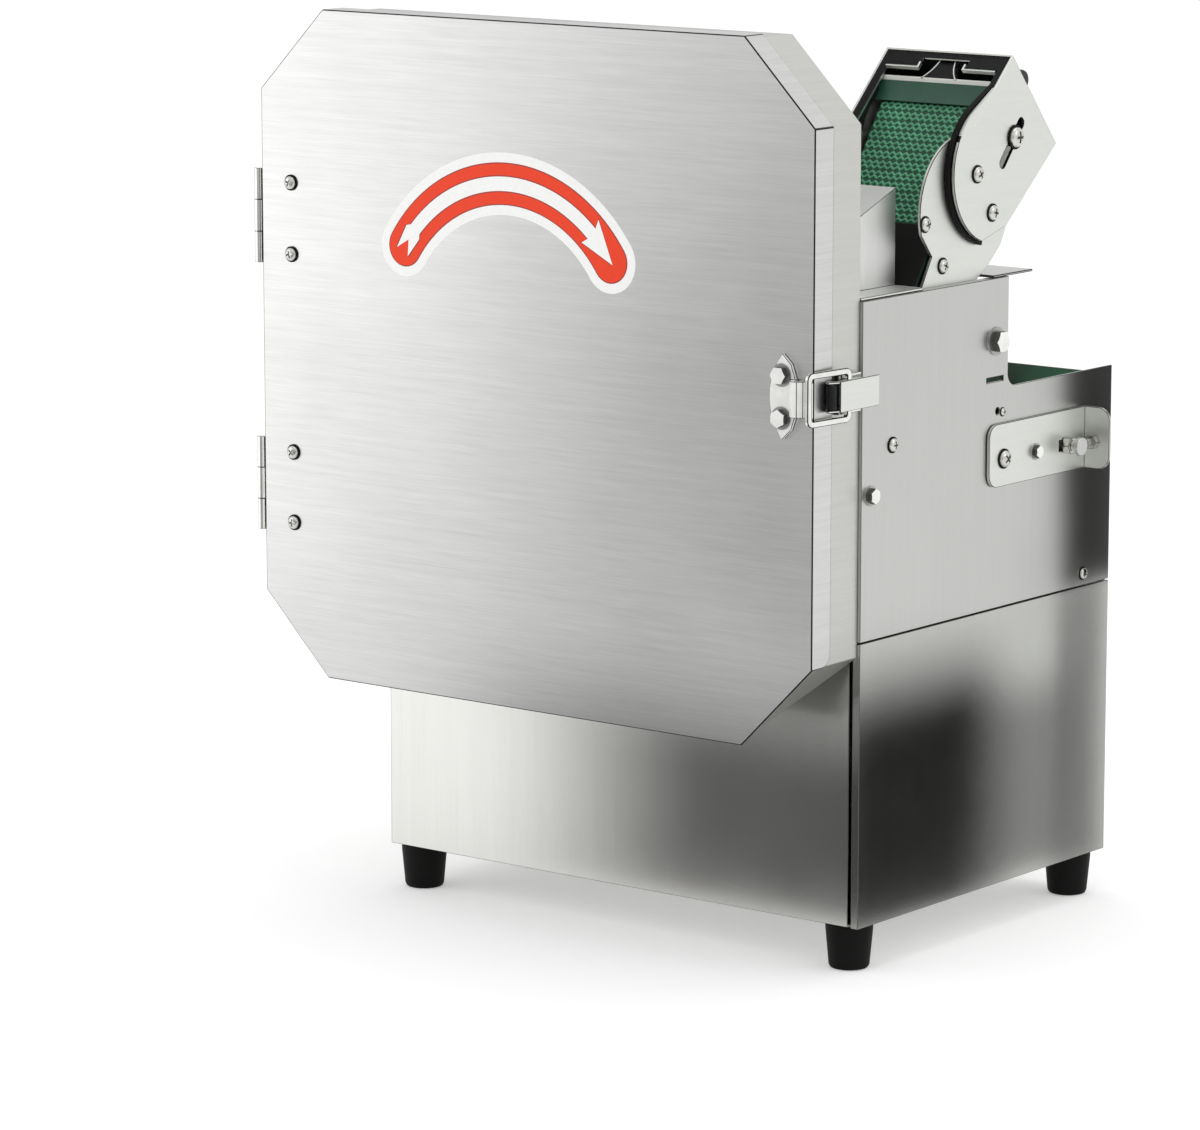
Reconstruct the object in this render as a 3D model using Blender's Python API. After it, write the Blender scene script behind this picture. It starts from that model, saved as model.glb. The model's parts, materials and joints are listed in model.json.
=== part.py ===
"""Commercial food slicer with a belt feed, a disc knife and a hinged octagonal door.

Run with: blender --background --python part.py

Every size is in metres. Pieces are drawn in the door's own frame: X runs right from the door's
hinge edge, Y runs back from the door's front face, Z runs up from the door's bottom edge. One empty
carries them all and puts the point under the middle of the machine, at floor level, at the world's
origin.
"""

import math

import bmesh
import bpy
from mathutils import Vector

MM = 0.001

# General fits
SHEET = 1.5 * MM
SEAT_GAP = 0.3 * MM
RUN_GAP = 0.25 * MM
ROUND_SEGMENTS = 24
SMALL_SEGMENTS = 16

# Door and cutting chamber
DOOR_WIDTH = 410 * MM
DOOR_HEIGHT = 404 * MM
DOOR_CHAMFER = 49.2 * MM
DOOR_FLANGE = 18 * MM
DOOR_FLANGE_GAP = 0.5 * MM
CHAMBER_DEPTH = 46.6 * MM
CHAMBER_FRONT = 4 * MM
CHAMBER_LEFT = 6 * MM
CHAMBER_RIGHT = DOOR_WIDTH - SHEET - DOOR_FLANGE_GAP
CHAMBER_TOP = DOOR_HEIGHT - SHEET - DOOR_FLANGE_GAP
FLANGE_END_RADIUS = 8 * MM

# Body, below and behind the chamber
BODY_LEFT = 56 * MM
BODY_RIGHT = DOOR_WIDTH
BODY_FRONT = CHAMBER_DEPTH + SEAT_GAP
BODY_REAR = 306.6 * MM
BODY_BOTTOM = -109.9 * MM
SEAM_HEIGHT = 57.7 * MM
SEAM_GAP = 0.8 * MM
STEP_Y = 194 * MM
STEP_HEIGHT = 189 * MM
STEP_RADIUS = 8 * MM
PANEL_TOP = 254 * MM
FRONT_RETURN = 5 * MM
FRONT_PANEL_RECESS = 1 * MM
FRONT_PANEL_SIDE_GAP = 3 * MM
PANEL_INNER = BODY_RIGHT - SHEET
CHANNEL_WIDTH = 90.5 * MM
CHANNEL_LEFT = PANEL_INNER - CHANNEL_WIDTH
COVER_SLOPE_Y = 165 * MM
REAR_WALL_DROP = 5 * MM
GUARD_FRONT = 178 * MM
GUARD_REAR = 219 * MM

# Fasteners and openings of the right wall, as (Y, Z) places
UPPER_SCREW = (77.1 * MM, 168.7 * MM)
LOWER_SCREW = (277.8 * MM, SEAM_HEIGHT + 7.7 * MM)
EDGE_BOLT = (55.9 * MM, 142 * MM)
EDGE_BOLT_FLATS = 8 * MM
PANEL_BOLT = (181.5 * MM, 217 * MM)
PANEL_BOLT_FLATS = 11 * MM
PANEL_WASHER_RADIUS = 9.5 * MM
PANEL_SLOT = (180.7 * MM, 194.5 * MM)
PANEL_SLOT_LENGTH = 17.8 * MM
PANEL_SLOT_WIDTH = 3 * MM
PANEL_HOLE = (183.8 * MM, 175.4 * MM)
PANEL_HOLE_RADIUS = 2.2 * MM

# Feet
FOOT_HEIGHT = 27 * MM
FOOT_RADIUS_TOP = 14 * MM
FOOT_RADIUS_BOTTOM = 11 * MM
FOOT_INSET = 15 * MM
FOOT_STUD_RADIUS = 4 * MM
FOOT_STUD_LENGTH = 12 * MM

# Lower conveyor
BELT_THICKNESS = 2.5 * MM
CONVEYOR_TOP = 178 * MM
CONVEYOR_BELT_RADIUS = 31 * MM
CONVEYOR_Z = CONVEYOR_TOP - CONVEYOR_BELT_RADIUS
CONVEYOR_FRONT_Y = 95 * MM
CONVEYOR_REAR_Y = 253.6 * MM
CONVEYOR_GAP_LEFT = 6 * MM
CONVEYOR_GAP_RIGHT = 7.5 * MM
CONVEYOR_BELT_LEFT = CHANNEL_LEFT + CONVEYOR_GAP_LEFT
CONVEYOR_BELT_RIGHT = PANEL_INNER - CONVEYOR_GAP_RIGHT
JOURNAL_RADIUS = 6 * MM
AXLE_RADIUS = 3 * MM
ROLLER_OVERHANG = 1.5 * MM
THROAT_TOP = 240 * MM
THROAT_FLOOR_END = 80 * MM

# Upper conveyor, the press belt
PRESS_LOWER = (118 * MM, CONVEYOR_TOP + 44 * MM)
PRESS_UPPER = (197.7 * MM, 335 * MM)
PRESS_LOWER_RADIUS = 23 * MM
PRESS_UPPER_RADIUS = 25.2 * MM
CHEEK_THICKNESS = 2 * MM
CHEEK_GAP = 5.3 * MM
CHEEK_LEFT = CHANNEL_LEFT + CHEEK_GAP
CHEEK_RIGHT = BODY_RIGHT - 6 * MM
CHEEK_SCREWS = ((115.8 * MM, 290.9 * MM), (134 * MM, 265.3 * MM))
PRESS_BELT_GAP = 2.5 * MM
PRESS_BELT_LEFT = CHEEK_LEFT + CHEEK_THICKNESS + PRESS_BELT_GAP
PRESS_BELT_RIGHT = CHEEK_RIGHT - CHEEK_THICKNESS - PRESS_BELT_GAP
HEAD_THICKNESS = 2 * MM
HEAD_SPACER = 4 * MM
HEAD_LEFT = CHEEK_LEFT - SEAT_GAP - HEAD_THICKNESS
HEAD_RIGHT = CHEEK_RIGHT + HEAD_SPACER + HEAD_THICKNESS
HEAD_TOP = (195.1 * MM, 382.6 * MM)
HEAD_REAR = (241.7 * MM, 327.9 * MM)
HEAD_SHOULDER = (155.6 * MM, 344 * MM)
HEAD_HEEL = (190.1 * MM, 283.9 * MM)
HEAD_ROOF_STOP = 6 * MM
HEAD_BROW = 11 * MM
HEAD_BROW_WINDOW = 33 * MM
HEAD_RETURN = 6 * MM
HEAD_BOSSES = ((159.5 * MM, 316.5 * MM), (175.5 * MM, 292.8 * MM))
HEAD_BOSS_RADIUS = 4.5 * MM
HEAD_SLOT_DOWN = 18.5 * MM
HEAD_SLOT_UP = 10 * MM
HEAD_SLOT_TURN = math.radians(50)
HEAD_CATCH_RADIUS = 4.2 * MM
HEAD_CATCH_PLACE = 23 * MM
AXLE_HEAD_RADIUS = 6 * MM
AXLE_HEAD_HEIGHT = 2.8 * MM
HEAD_LOBE = (178 * MM, 317 * MM)
HEAD_LOBE_RADIUS = 42 * MM
CHEEK_LOBE = (155 * MM, 296 * MM)
CHEEK_LOBE_RADIUS = 44 * MM
CHEEK_NOTCH = ((123.2 * MM, 271.5 * MM), (112.7 * MM, 253.7 * MM))
CHEEK_FOOT_RADIUS = 16 * MM
CHEEK_BACK = ((158 * MM, 247 * MM), (179.8 * MM, 260.3 * MM), (193.7 * MM, 272.5 * MM),
              (199.1 * MM, 282.6 * MM), (172 * MM, 333 * MM))
SCRAPER_FRONT = 184 * MM
SCRAPER_TOP = 367.6 * MM
SCRAPER_BAR = 2.5 * MM
SCRAPER_SHEET = 1 * MM
SCRAPER_BELT_GAP = 1.2 * MM

# Hood over the throat
HOOD_RIGHT = BODY_RIGHT - 21 * MM
HOOD_LEFT = CHANNEL_LEFT + 6 * MM
HOOD_REAR = 108 * MM
HOOD_FRONT_TOP = PANEL_TOP + 34 * MM
HOOD_REAR_TOP = PANEL_TOP + 58 * MM

# Knife and its drive
KNIFE_X = DOOR_WIDTH / 2
KNIFE_Z = DOOR_HEIGHT / 2
KNIFE_RIM_GAP = 17 * MM
KNIFE_RADIUS = min(KNIFE_X, DOOR_WIDTH - KNIFE_X, KNIFE_Z, DOOR_HEIGHT - KNIFE_Z) - KNIFE_RIM_GAP
KNIFE_THICKNESS = 4 * MM
BLADE_THICKNESS = 1.5 * MM
BLADE_BACK_GAP = 0.6 * MM
BLADE_INNER = 48 * MM
BLADE_OUTER = KNIFE_RADIUS - 5 * MM
BLADE_WIDTH = 38 * MM
BLADE_SWEEP = math.radians(58)
BLADE_COUNT = 2
WINDOW_WIDTH = 24 * MM
HUB_RADIUS = 34 * MM
HUB_LENGTH = 14 * MM
SHAFT_RADIUS = 12 * MM
SHAFT_FRONT = 14 * MM
SHAFT_REAR = 186 * MM
BEARING_RADIUS = 26 * MM
BEARING_FLANGE_RADIUS = 45 * MM
BEARING_FLANGE_LENGTH = 6 * MM
BEARING_REAR = 150 * MM
PULLEY_FRONT = 160 * MM
PULLEY_WIDTH = 20 * MM
PULLEY_FLANGE = 4.5 * MM
PULLEY_GROOVE_DEPTH = 6 * MM
KNIFE_PULLEY_RADIUS = 44 * MM
MOTOR_PULLEY_RADIUS = 28 * MM
MOTOR_Z = SEAM_HEIGHT - 69.7 * MM
MOTOR_RADIUS = 58 * MM
MOTOR_FRONT = 62 * MM
MOTOR_REAR = 152 * MM
MOTOR_SHAFT_RADIUS = 8 * MM
COVER_TOP = max(KNIFE_Z + KNIFE_PULLEY_RADIUS + 22 * MM, PRESS_LOWER[1] + 46 * MM)

# Feed gears
GEAR_TEETH = 24
GEAR_WIDTH = 10 * MM
GEAR_RIGHT = CHANNEL_LEFT - SHEET - 2.5 * MM
GEAR_BACKLASH = 0.35 * MM
PRESSURE_ANGLE = math.radians(20)

# Feed gear motor
FEED_MOTOR_RADIUS = 24 * MM
FEED_MOTOR_LENGTH = 40 * MM
GEARBOX_RADIUS = 29 * MM
GEARBOX_LENGTH = 26 * MM
GEARBOX_GAP = 3 * MM
MOTOR_POST_LENGTH = 18 * MM
MOTOR_POST_WIDTH = 28 * MM

# Door hinges
HINGE_HEIGHT = 57 * MM
HINGE_MIDDLES = (DOOR_HEIGHT / 2 - 87.5 * MM, DOOR_HEIGHT / 2 + 75.8 * MM)
HINGE_AXIS = (-4.5 * MM, 3 * MM)
HINGE_BARREL_RADIUS = 3.4 * MM
HINGE_PIN_RADIUS = 1.6 * MM
HINGE_LEAF = 1.5 * MM
HINGE_SCREW_X = 23.4 * MM
HINGE_SCREW_SPACING = 43.1 * MM
HINGE_LEAF_RIGHT = 32 * MM
HINGE_LEAF_DEPTH = 22 * MM

# Toggle latch
LATCH_Z = DOOR_HEIGHT / 2 + 2 * MM
LEVER_AXIS = (BODY_RIGHT + 3.6 * MM, 12 * MM)
BAIL_AXIS = (BODY_RIGHT + 4.8 * MM, 27 * MM)
LEVER_WIDTH = 17.5 * MM
LEVER_REAR = 53 * MM
LEVER_OUTER = BODY_RIGHT + 7.6 * MM
LEVER_SHEET = 1.2 * MM
BAIL_HEIGHT = 31 * MM
BAIL_BAR_RADIUS = 1.3 * MM
BAIL_FRONT = (BODY_RIGHT + 1.4 * MM, -7.6 * MM)
KEEPER_LEFT = DOOR_WIDTH - 29 * MM
KEEPER_RIGHT = DOOR_WIDTH - 11 * MM
KEEPER_BOLT_X = DOOR_WIDTH - 20.4 * MM
KEEPER_BOLT_SPACING = 24.4 * MM
KEEPER_LENS_RADIUS = 38 * MM
KEEPER_HEIGHT = 51 * MM
KEEPER_SHEET = 2 * MM

# Belt tension bracket
BRACKET_FRONT = 172.5 * MM
BRACKET_REAR = 276 * MM
BRACKET_BOTTOM = 130.7 * MM
BRACKET_TOP = 168 * MM
BRACKET_SHEET = 2 * MM
BRACKET_FLANGE = 17.5 * MM
BRACKET_RADIUS = 8 * MM
TENSION_SCREW_X = BODY_RIGHT + 8.5 * MM
TENSION_SCREW_RADIUS = 2.5 * MM
TENSION_TRAVEL = 4 * MM
TENSION_EYE_RADIUS = 5.5 * MM
TENSION_EYE_RIGHT = TENSION_SCREW_X + TENSION_SCREW_RADIUS
BRACKET_SCREW_Y = 187.6 * MM
BRACKET_BOLT_Y = 221.4 * MM

# Controls on the left wall of the lower body
CONTROL_Z = SEAM_HEIGHT - 39.7 * MM
START_Y = 118 * MM
STOP_Y = 156 * MM
KNOB_Y = 200 * MM
BUTTON_RADIUS = 9 * MM
BUTTON_TRAVEL = 3 * MM
KNOB_RADIUS = 15 * MM
KNOB_STEM_RADIUS = 3 * MM
CONTROL_PLATE_HEIGHT = 52 * MM

# Cable gland on the rear wall
GLAND_X = 112 * MM
GLAND_Z = -78 * MM
GLAND_RADIUS = 9 * MM
GLAND_LENGTH = 15 * MM

MACHINE_LEFT = HINGE_AXIS[0] - HINGE_BARREL_RADIUS
MACHINE_RIGHT = BODY_RIGHT + SEAT_GAP + BRACKET_SHEET + BRACKET_FLANGE
MACHINE_FRONT = BAIL_FRONT[1] - BAIL_BAR_RADIUS
MACHINE_REAR = BODY_REAR + SEAT_GAP + GLAND_LENGTH
FLOOR = BODY_BOTTOM - FOOT_HEIGHT

CENTRE = Vector(((MACHINE_LEFT + MACHINE_RIGHT) / 2, (MACHINE_FRONT + MACHINE_REAR) / 2, FLOOR))


def clear_scene():
    for thing in list(bpy.data.objects):
        bpy.data.objects.remove(thing)


def make_material(name, colour, roughness, metallic):
    material = bpy.data.materials.new(name)
    material.use_nodes = True
    shader = material.node_tree.nodes["Principled BSDF"]
    shader.inputs["Base Color"].default_value = (*colour, 1)
    shader.inputs["Roughness"].default_value = roughness
    shader.inputs["Metallic"].default_value = metallic
    material.diffuse_color = (*colour, 1)
    return material


def arc(centre, radius, start, end, steps):
    """Points on an arc, angles in degrees, both ends included."""
    turns = [math.radians(start + (end - start) * step / steps) for step in range(steps + 1)]
    return [(centre[0] + radius * math.cos(turn), centre[1] + radius * math.sin(turn)) for turn in turns]


def circle(centre, radius, segments=ROUND_SEGMENTS):
    return arc(centre, radius, 0, 360, segments)[:-1]


def octagon(left, right, bottom, top, chamfer):
    return [
        (left + chamfer, bottom), (right - chamfer, bottom), (right, bottom + chamfer),
        (right, top - chamfer), (right - chamfer, top), (left + chamfer, top),
        (left, top - chamfer), (left, bottom + chamfer),
    ]


def belt_outline(first, first_radius, second, second_radius, steps=24):
    """The outline of a belt round two wheels: two arcs joined by their outer tangents."""
    along = Vector(second) - Vector(first)
    heading = math.degrees(math.atan2(along.y, along.x))
    lean = math.degrees(math.acos((first_radius - second_radius) / along.length))
    near = arc(first, first_radius, heading + lean, heading + 360 - lean, steps)
    far = arc(second, second_radius, heading - lean, heading + lean, steps)
    return near + far


def to_space(axis, flat, depth):
    """A point of a drawing across the given axis: (Y, Z) across X, (X, Z) across Y, (X, Y) across Z."""
    if axis == "X":
        return (depth, flat[0], flat[1])
    if axis == "Y":
        return (flat[0], depth, flat[1])
    return (flat[0], flat[1], depth)


def new_object(shape, name="shape"):
    bmesh.ops.remove_doubles(shape, verts=shape.verts, dist=1e-7)
    bmesh.ops.recalc_face_normals(shape, faces=shape.faces)
    mesh = bpy.data.meshes.new(name)
    shape.to_mesh(mesh)
    shape.free()
    thing = bpy.data.objects.new(name, mesh)
    bpy.context.scene.collection.objects.link(thing)
    return thing


def prism(axis, outline, low, high, high_outline=None):
    """Extrudes an outline along an axis, or lofts it to a second outline with as many points."""
    shape = bmesh.new()
    first = [shape.verts.new(to_space(axis, point, low)) for point in outline]
    last = [shape.verts.new(to_space(axis, point, high)) for point in high_outline or outline]
    shape.faces.new(first)
    shape.faces.new(last)
    for index in range(len(first)):
        after = (index + 1) % len(first)
        shape.faces.new((first[index], first[after], last[after], last[index]))
    return new_object(shape)


def box(left, right, front, rear, bottom, top):
    return prism("Z", [(left, front), (right, front), (right, rear), (left, rear)], bottom, top)


def rod(axis, centre, radius, low, high, segments=ROUND_SEGMENTS, high_radius=None):
    end = circle(centre, high_radius, segments) if high_radius else None
    return prism(axis, circle(centre, radius, segments), low, high, end)


def hexagon(axis, centre, across_flats, low, high):
    return prism(axis, circle(centre, across_flats / math.sqrt(3), 6), low, high)


def turned(axis, centre, profile, segments=ROUND_SEGMENTS):
    """A solid of revolution. The profile is (radius, place along the axis) from one end to the other."""
    shape = bmesh.new()
    rings = []
    for radius, depth in profile:
        ring = [shape.verts.new(to_space(axis, point, depth)) for point in circle(centre, radius, segments)]
        rings.append(ring)
    shape.faces.new(rings[0])
    shape.faces.new(rings[-1])
    for near, far in zip(rings, rings[1:]):
        for index in range(segments):
            after = (index + 1) % segments
            shape.faces.new((near[index], near[after], far[after], far[index]))
    return new_object(shape)


def combine(base, others, operation):
    """Joins or cuts with exact Booleans, keeps the result as the base's mesh and drops the others."""
    for other in others:
        modifier = base.modifiers.new(operation.lower(), "BOOLEAN")
        modifier.operation = operation
        modifier.object = other
    graph = bpy.context.evaluated_depsgraph_get()
    mesh = bpy.data.meshes.new_from_object(base.evaluated_get(graph))
    base.modifiers.clear()
    base.data = mesh
    for other in others:
        bpy.data.objects.remove(other)
    return base


def join(base, *others):
    return combine(base, others, "UNION")


def cut(base, *others):
    return combine(base, others, "DIFFERENCE")


def piece(name, thing, material, axis_point=(0, 0, 0)):
    """Names a finished solid, gives it its material and puts its origin on its joint's axis."""
    thing.name = name
    thing.data.name = name
    thing.data.materials.clear()
    thing.data.materials.append(material)
    for vertex in thing.data.vertices:
        vertex.co -= Vector(axis_point)
    thing.location = axis_point
    thing.parent = bpy.data.objects["machine_origin"]
    thing.data.shade_smooth()
    thing.data.set_sharp_from_angle(angle=math.radians(35))
    return thing


def gear_outline(centre, pitch_radius, teeth, phase):
    """A spur gear's outline with involute flanks. The phase is the first tooth's direction."""
    module = 2 * pitch_radius / teeth
    base_radius = pitch_radius * math.cos(PRESSURE_ANGLE)
    radii = [pitch_radius + module * share for share in (-1.2, 0, 0.95)]

    def involute(angle):
        return math.tan(angle) - angle

    def half_width(radius):
        roll = math.acos(min(1, base_radius / radius))
        thickness = math.pi / (2 * teeth) - GEAR_BACKLASH / (2 * pitch_radius)
        return thickness + involute(PRESSURE_ANGLE) - involute(roll)

    points = []
    for tooth in range(teeth):
        middle = phase + 2 * math.pi * tooth / teeth
        flank = [(radius, -half_width(radius)) for radius in radii]
        flank += [(radius, half_width(radius)) for radius in reversed(radii)]
        for radius, turn in flank:
            points.append((centre[0] + radius * math.cos(middle + turn),
                           centre[1] + radius * math.sin(middle + turn)))
    return points


def build_door(steel, zinc):
    """The octagonal door with its bent edge, its hinge leaves and the keeper of the latch."""
    outline = octagon(0, DOOR_WIDTH, 0, DOOR_HEIGHT, DOOR_CHAMFER)
    door = prism("Y", outline, 0, SHEET)
    inner_chamfer = DOOR_CHAMFER - SHEET * (2 - math.sqrt(2))
    rim = prism("Y", outline, 0, DOOR_FLANGE)
    hollow = prism("Y", octagon(SHEET, DOOR_WIDTH - SHEET, SHEET, DOOR_HEIGHT - SHEET, inner_chamfer),
                   -SHEET, DOOR_FLANGE + SHEET)
    left_side = box(-SHEET, DOOR_CHAMFER, -SHEET, DOOR_FLANGE + SHEET, -SHEET, DOOR_HEIGHT + SHEET)
    below = box(-SHEET, DOOR_WIDTH + SHEET, -SHEET, DOOR_FLANGE + SHEET, -SHEET, DOOR_CHAMFER)
    corner = (DOOR_FLANGE - FLANGE_END_RADIUS, DOOR_CHAMFER + FLANGE_END_RADIUS)
    rounding = arc(corner, FLANGE_END_RADIUS, -90, 0, 6)
    rounding += [(DOOR_FLANGE + SHEET, corner[1]), (DOOR_FLANGE + SHEET, 0), (corner[0], 0)]
    round_end = prism("X", rounding, DOOR_WIDTH / 2, DOOR_WIDTH + SHEET)
    rim = cut(rim, hollow, left_side, below, round_end)
    door = join(door, rim)
    holes = [rod("Y", (HINGE_SCREW_X, z), 2.3 * MM, -SHEET, 2 * SHEET, SMALL_SEGMENTS)
             for z in hinge_screw_heights()]
    holes += [rod("Y", (KEEPER_BOLT_X, z), 3.3 * MM, -SHEET, 2 * SHEET, SMALL_SEGMENTS)
              for z in keeper_bolt_heights()]
    piece("door_panel", cut(door, *holes), steel, (*HINGE_AXIS, DOOR_HEIGHT / 2))
    for label, middle in zip(("lower", "upper"), HINGE_MIDDLES):
        build_door_leaf(label, middle, zinc)
    build_keeper(zinc)


def hinge_screw_heights():
    return [middle + side * HINGE_SCREW_SPACING / 2 for middle in HINGE_MIDDLES for side in (-1, 1)]


def keeper_bolt_heights():
    return [LATCH_Z + side * KEEPER_BOLT_SPACING / 2 for side in (-1, 1)]


def build_door_leaf(label, middle, zinc):
    """A leaf behind the door with the middle knuckle of its barrel, and its two screws through the door."""
    front = SHEET + SEAT_GAP
    half = HINGE_HEIGHT / 2
    knuckle = half / 3
    plate = box(2 * MM, HINGE_LEAF_RIGHT, front, front + HINGE_LEAF, middle - half, middle + half)
    tongue = box(HINGE_AXIS[0], 3 * MM, front, front + HINGE_LEAF, middle - knuckle, middle + knuckle)
    barrel = rod("Z", HINGE_AXIS, HINGE_BARREL_RADIUS, middle - knuckle, middle + knuckle, SMALL_SEGMENTS)
    screws = []
    for side in (-1, 1):
        centre = (HINGE_SCREW_X, middle + side * HINGE_SCREW_SPACING / 2)
        head_face = -SEAT_GAP
        shank = rod("Y", centre, 2 * MM, head_face - 1 * MM, front + HINGE_LEAF / 2, SMALL_SEGMENTS)
        head = turned("Y", centre, [(2.4 * MM, head_face - 2.6 * MM), (3.6 * MM, head_face - 1.6 * MM),
                                    (4 * MM, head_face)], SMALL_SEGMENTS)
        screws += [shank, head]
    leaf = join(plate, tongue, barrel, *screws)
    bore = rod("Z", HINGE_AXIS, HINGE_PIN_RADIUS + RUN_GAP, middle - half, middle + half, SMALL_SEGMENTS)
    piece(f"door_hinge_leaf_{label}", cut(leaf, bore), zinc, (*HINGE_AXIS, middle))


def build_body_leaf(label, middle, zinc):
    """A leaf on the chamber's left wall with the two end knuckles of its barrel and the hinge pin."""
    half = HINGE_HEIGHT / 2
    knuckle = half / 3 + RUN_GAP
    right = CHAMBER_LEFT - SEAT_GAP
    left = right - HINGE_LEAF
    front = SHEET + 2 * SEAT_GAP + 2 * HINGE_LEAF
    plate = box(left, right, front + 2 * MM, front + 2 * MM + HINGE_LEAF_DEPTH, middle - half, middle + half)
    parts = [plate]
    for side in (-1, 1):
        low, high = sorted((middle + side * knuckle, middle + side * half))
        bridge = box(HINGE_AXIS[0], right, front - 0.6 * MM, front + 3 * MM, low, high)
        barrel = rod("Z", HINGE_AXIS, HINGE_BARREL_RADIUS, low, high, SMALL_SEGMENTS)
        parts += [bridge, barrel]
    pin = rod("Z", HINGE_AXIS, HINGE_PIN_RADIUS, middle - half, middle + half, SMALL_SEGMENTS)
    piece(f"body_hinge_leaf_{label}", join(*parts, pin), zinc)


def build_keeper(zinc):
    """The lens-shaped keeper plate. Its formed hook reaches past the door's edge, behind the bail's bar."""
    front = -SEAT_GAP - KEEPER_SHEET
    half = KEEPER_HEIGHT / 2
    hook_half = KEEPER_BOLT_SPACING / 2 - 2 * MM
    edge = KEEPER_RIGHT
    lens = arc((KEEPER_LEFT + KEEPER_LENS_RADIUS, LATCH_Z), KEEPER_LENS_RADIUS, 140, 220, 12)
    lens += [(edge - 3 * MM, LATCH_Z - half + 7 * MM), (edge, LATCH_Z - hook_half),
             (edge, LATCH_Z + hook_half), (edge - 3 * MM, LATCH_Z + half - 7 * MM)]
    plate = prism("Y", lens, front, -SEAT_GAP)
    sheet = KEEPER_SHEET
    tip = BAIL_FRONT[1] + BAIL_BAR_RADIUS + SEAT_GAP
    tip_x = BAIL_FRONT[0] + 1.6 * MM
    crest = front - 6.5 * MM
    hook = [(edge - 3 * MM, front + sheet), (edge - 3 * MM, front), (edge - 0.5 * MM, crest + 1.6 * MM),
            (edge + 2 * MM, crest), (edge + 5.5 * MM, crest), (edge + 8 * MM, tip), (tip_x, tip),
            (tip_x, tip + sheet * 0.7), (edge + 6.5 * MM, tip + sheet * 0.7),
            (edge + 4.5 * MM, crest + sheet), (edge + 2.6 * MM, crest + sheet),
            (edge + 0.5 * MM, front + sheet)]
    tongue = prism("Z", hook, LATCH_Z - hook_half, LATCH_Z + hook_half)
    parts = [plate, tongue]
    for z in keeper_bolt_heights():
        centre = (KEEPER_BOLT_X, z)
        parts.append(hexagon("Y", centre, 9 * MM, front - 5 * MM, front + 0.5 * MM))
        parts.append(rod("Y", centre, 5.6 * MM, front - 1.2 * MM, front + 0.5 * MM, SMALL_SEGMENTS))
        parts.append(rod("Y", centre, 3 * MM, front, SHEET + 2 * MM, SMALL_SEGMENTS))
    piece("latch_keeper", join(*parts), zinc, (*HINGE_AXIS, LATCH_Z))


def build_latch(zinc):
    """The toggle latch on the chamber's right wall: base, lever and bail."""
    wall = CHAMBER_RIGHT + SEAT_GAP
    over = BODY_RIGHT + 0.9 * MM
    sheet = 1.4 * MM
    half = LEVER_WIDTH / 2 - LEVER_SHEET - SEAT_GAP
    rear = CHAMBER_DEPTH - 4 * MM
    start = DOOR_FLANGE + 2.5 * MM
    foot = box(wall, over + sheet, start, rear, LATCH_Z - half - 4 * MM, LATCH_Z + half + 4 * MM)
    tongue = box(over, over + sheet, LEVER_AXIS[1], start + 2 * MM, LATCH_Z - half, LATCH_Z + half)
    knuckle = rod("Z", LEVER_AXIS, 2.6 * MM, LATCH_Z - half, LATCH_Z + half, SMALL_SEGMENTS)
    pin_radius = 1.2 * MM
    bore = rod("Z", LEVER_AXIS, pin_radius + RUN_GAP, LATCH_Z - 2 * half, LATCH_Z + 2 * half, SMALL_SEGMENTS)
    piece("latch_base", cut(join(foot, tongue, knuckle), bore), zinc)

    edge = LEVER_OUTER - LEVER_SHEET
    width = LEVER_WIDTH / 2
    top = box(edge, LEVER_OUTER, LEVER_AXIS[1] + 3.5 * MM, LEVER_REAR, LATCH_Z - width, LATCH_Z + width)
    side_outline = arc(LEVER_AXIS, 3.2 * MM, 90, 270, 8)
    side_outline += [(BAIL_AXIS[0] - 1 * MM, LEVER_AXIS[1] - 3.2 * MM),
                     (edge + LEVER_SHEET / 2, LEVER_AXIS[1] + 3.5 * MM), (edge + LEVER_SHEET / 2, 40 * MM),
                     (edge - 1.5 * MM, 40 * MM), (BAIL_AXIS[0] - 2.2 * MM, 32 * MM)]
    parts = [top]
    for side in (-1, 1):
        low, high = sorted((LATCH_Z + side * width, LATCH_Z + side * (width - LEVER_SHEET)))
        parts.append(prism("Z", side_outline, low, high))
    parts.append(rod("Z", LEVER_AXIS, pin_radius, LATCH_Z - width, LATCH_Z + width, SMALL_SEGMENTS))
    lever = join(*parts)
    eye = rod("Z", BAIL_AXIS, BAIL_BAR_RADIUS + RUN_GAP, LATCH_Z - 2 * width, LATCH_Z + 2 * width,
              SMALL_SEGMENTS)
    piece("latch_lever", cut(lever, eye), zinc, (*LEVER_AXIS, LATCH_Z))

    reach = BAIL_HEIGHT / 2
    rods = [rod("Z", point, BAIL_BAR_RADIUS, LATCH_Z - reach, LATCH_Z + reach, SMALL_SEGMENTS)
            for point in (BAIL_FRONT, BAIL_AXIS)]
    strap = belt_outline(BAIL_FRONT, BAIL_BAR_RADIUS, BAIL_AXIS, BAIL_BAR_RADIUS, 6)
    for side in (-1, 1):
        low, high = sorted((LATCH_Z + side * reach, LATCH_Z + side * (reach - 2.8 * MM)))
        rods.append(prism("Z", strap, low, high))
    piece("latch_bail", join(*rods), zinc, (*BAIL_AXIS, LATCH_Z))


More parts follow.
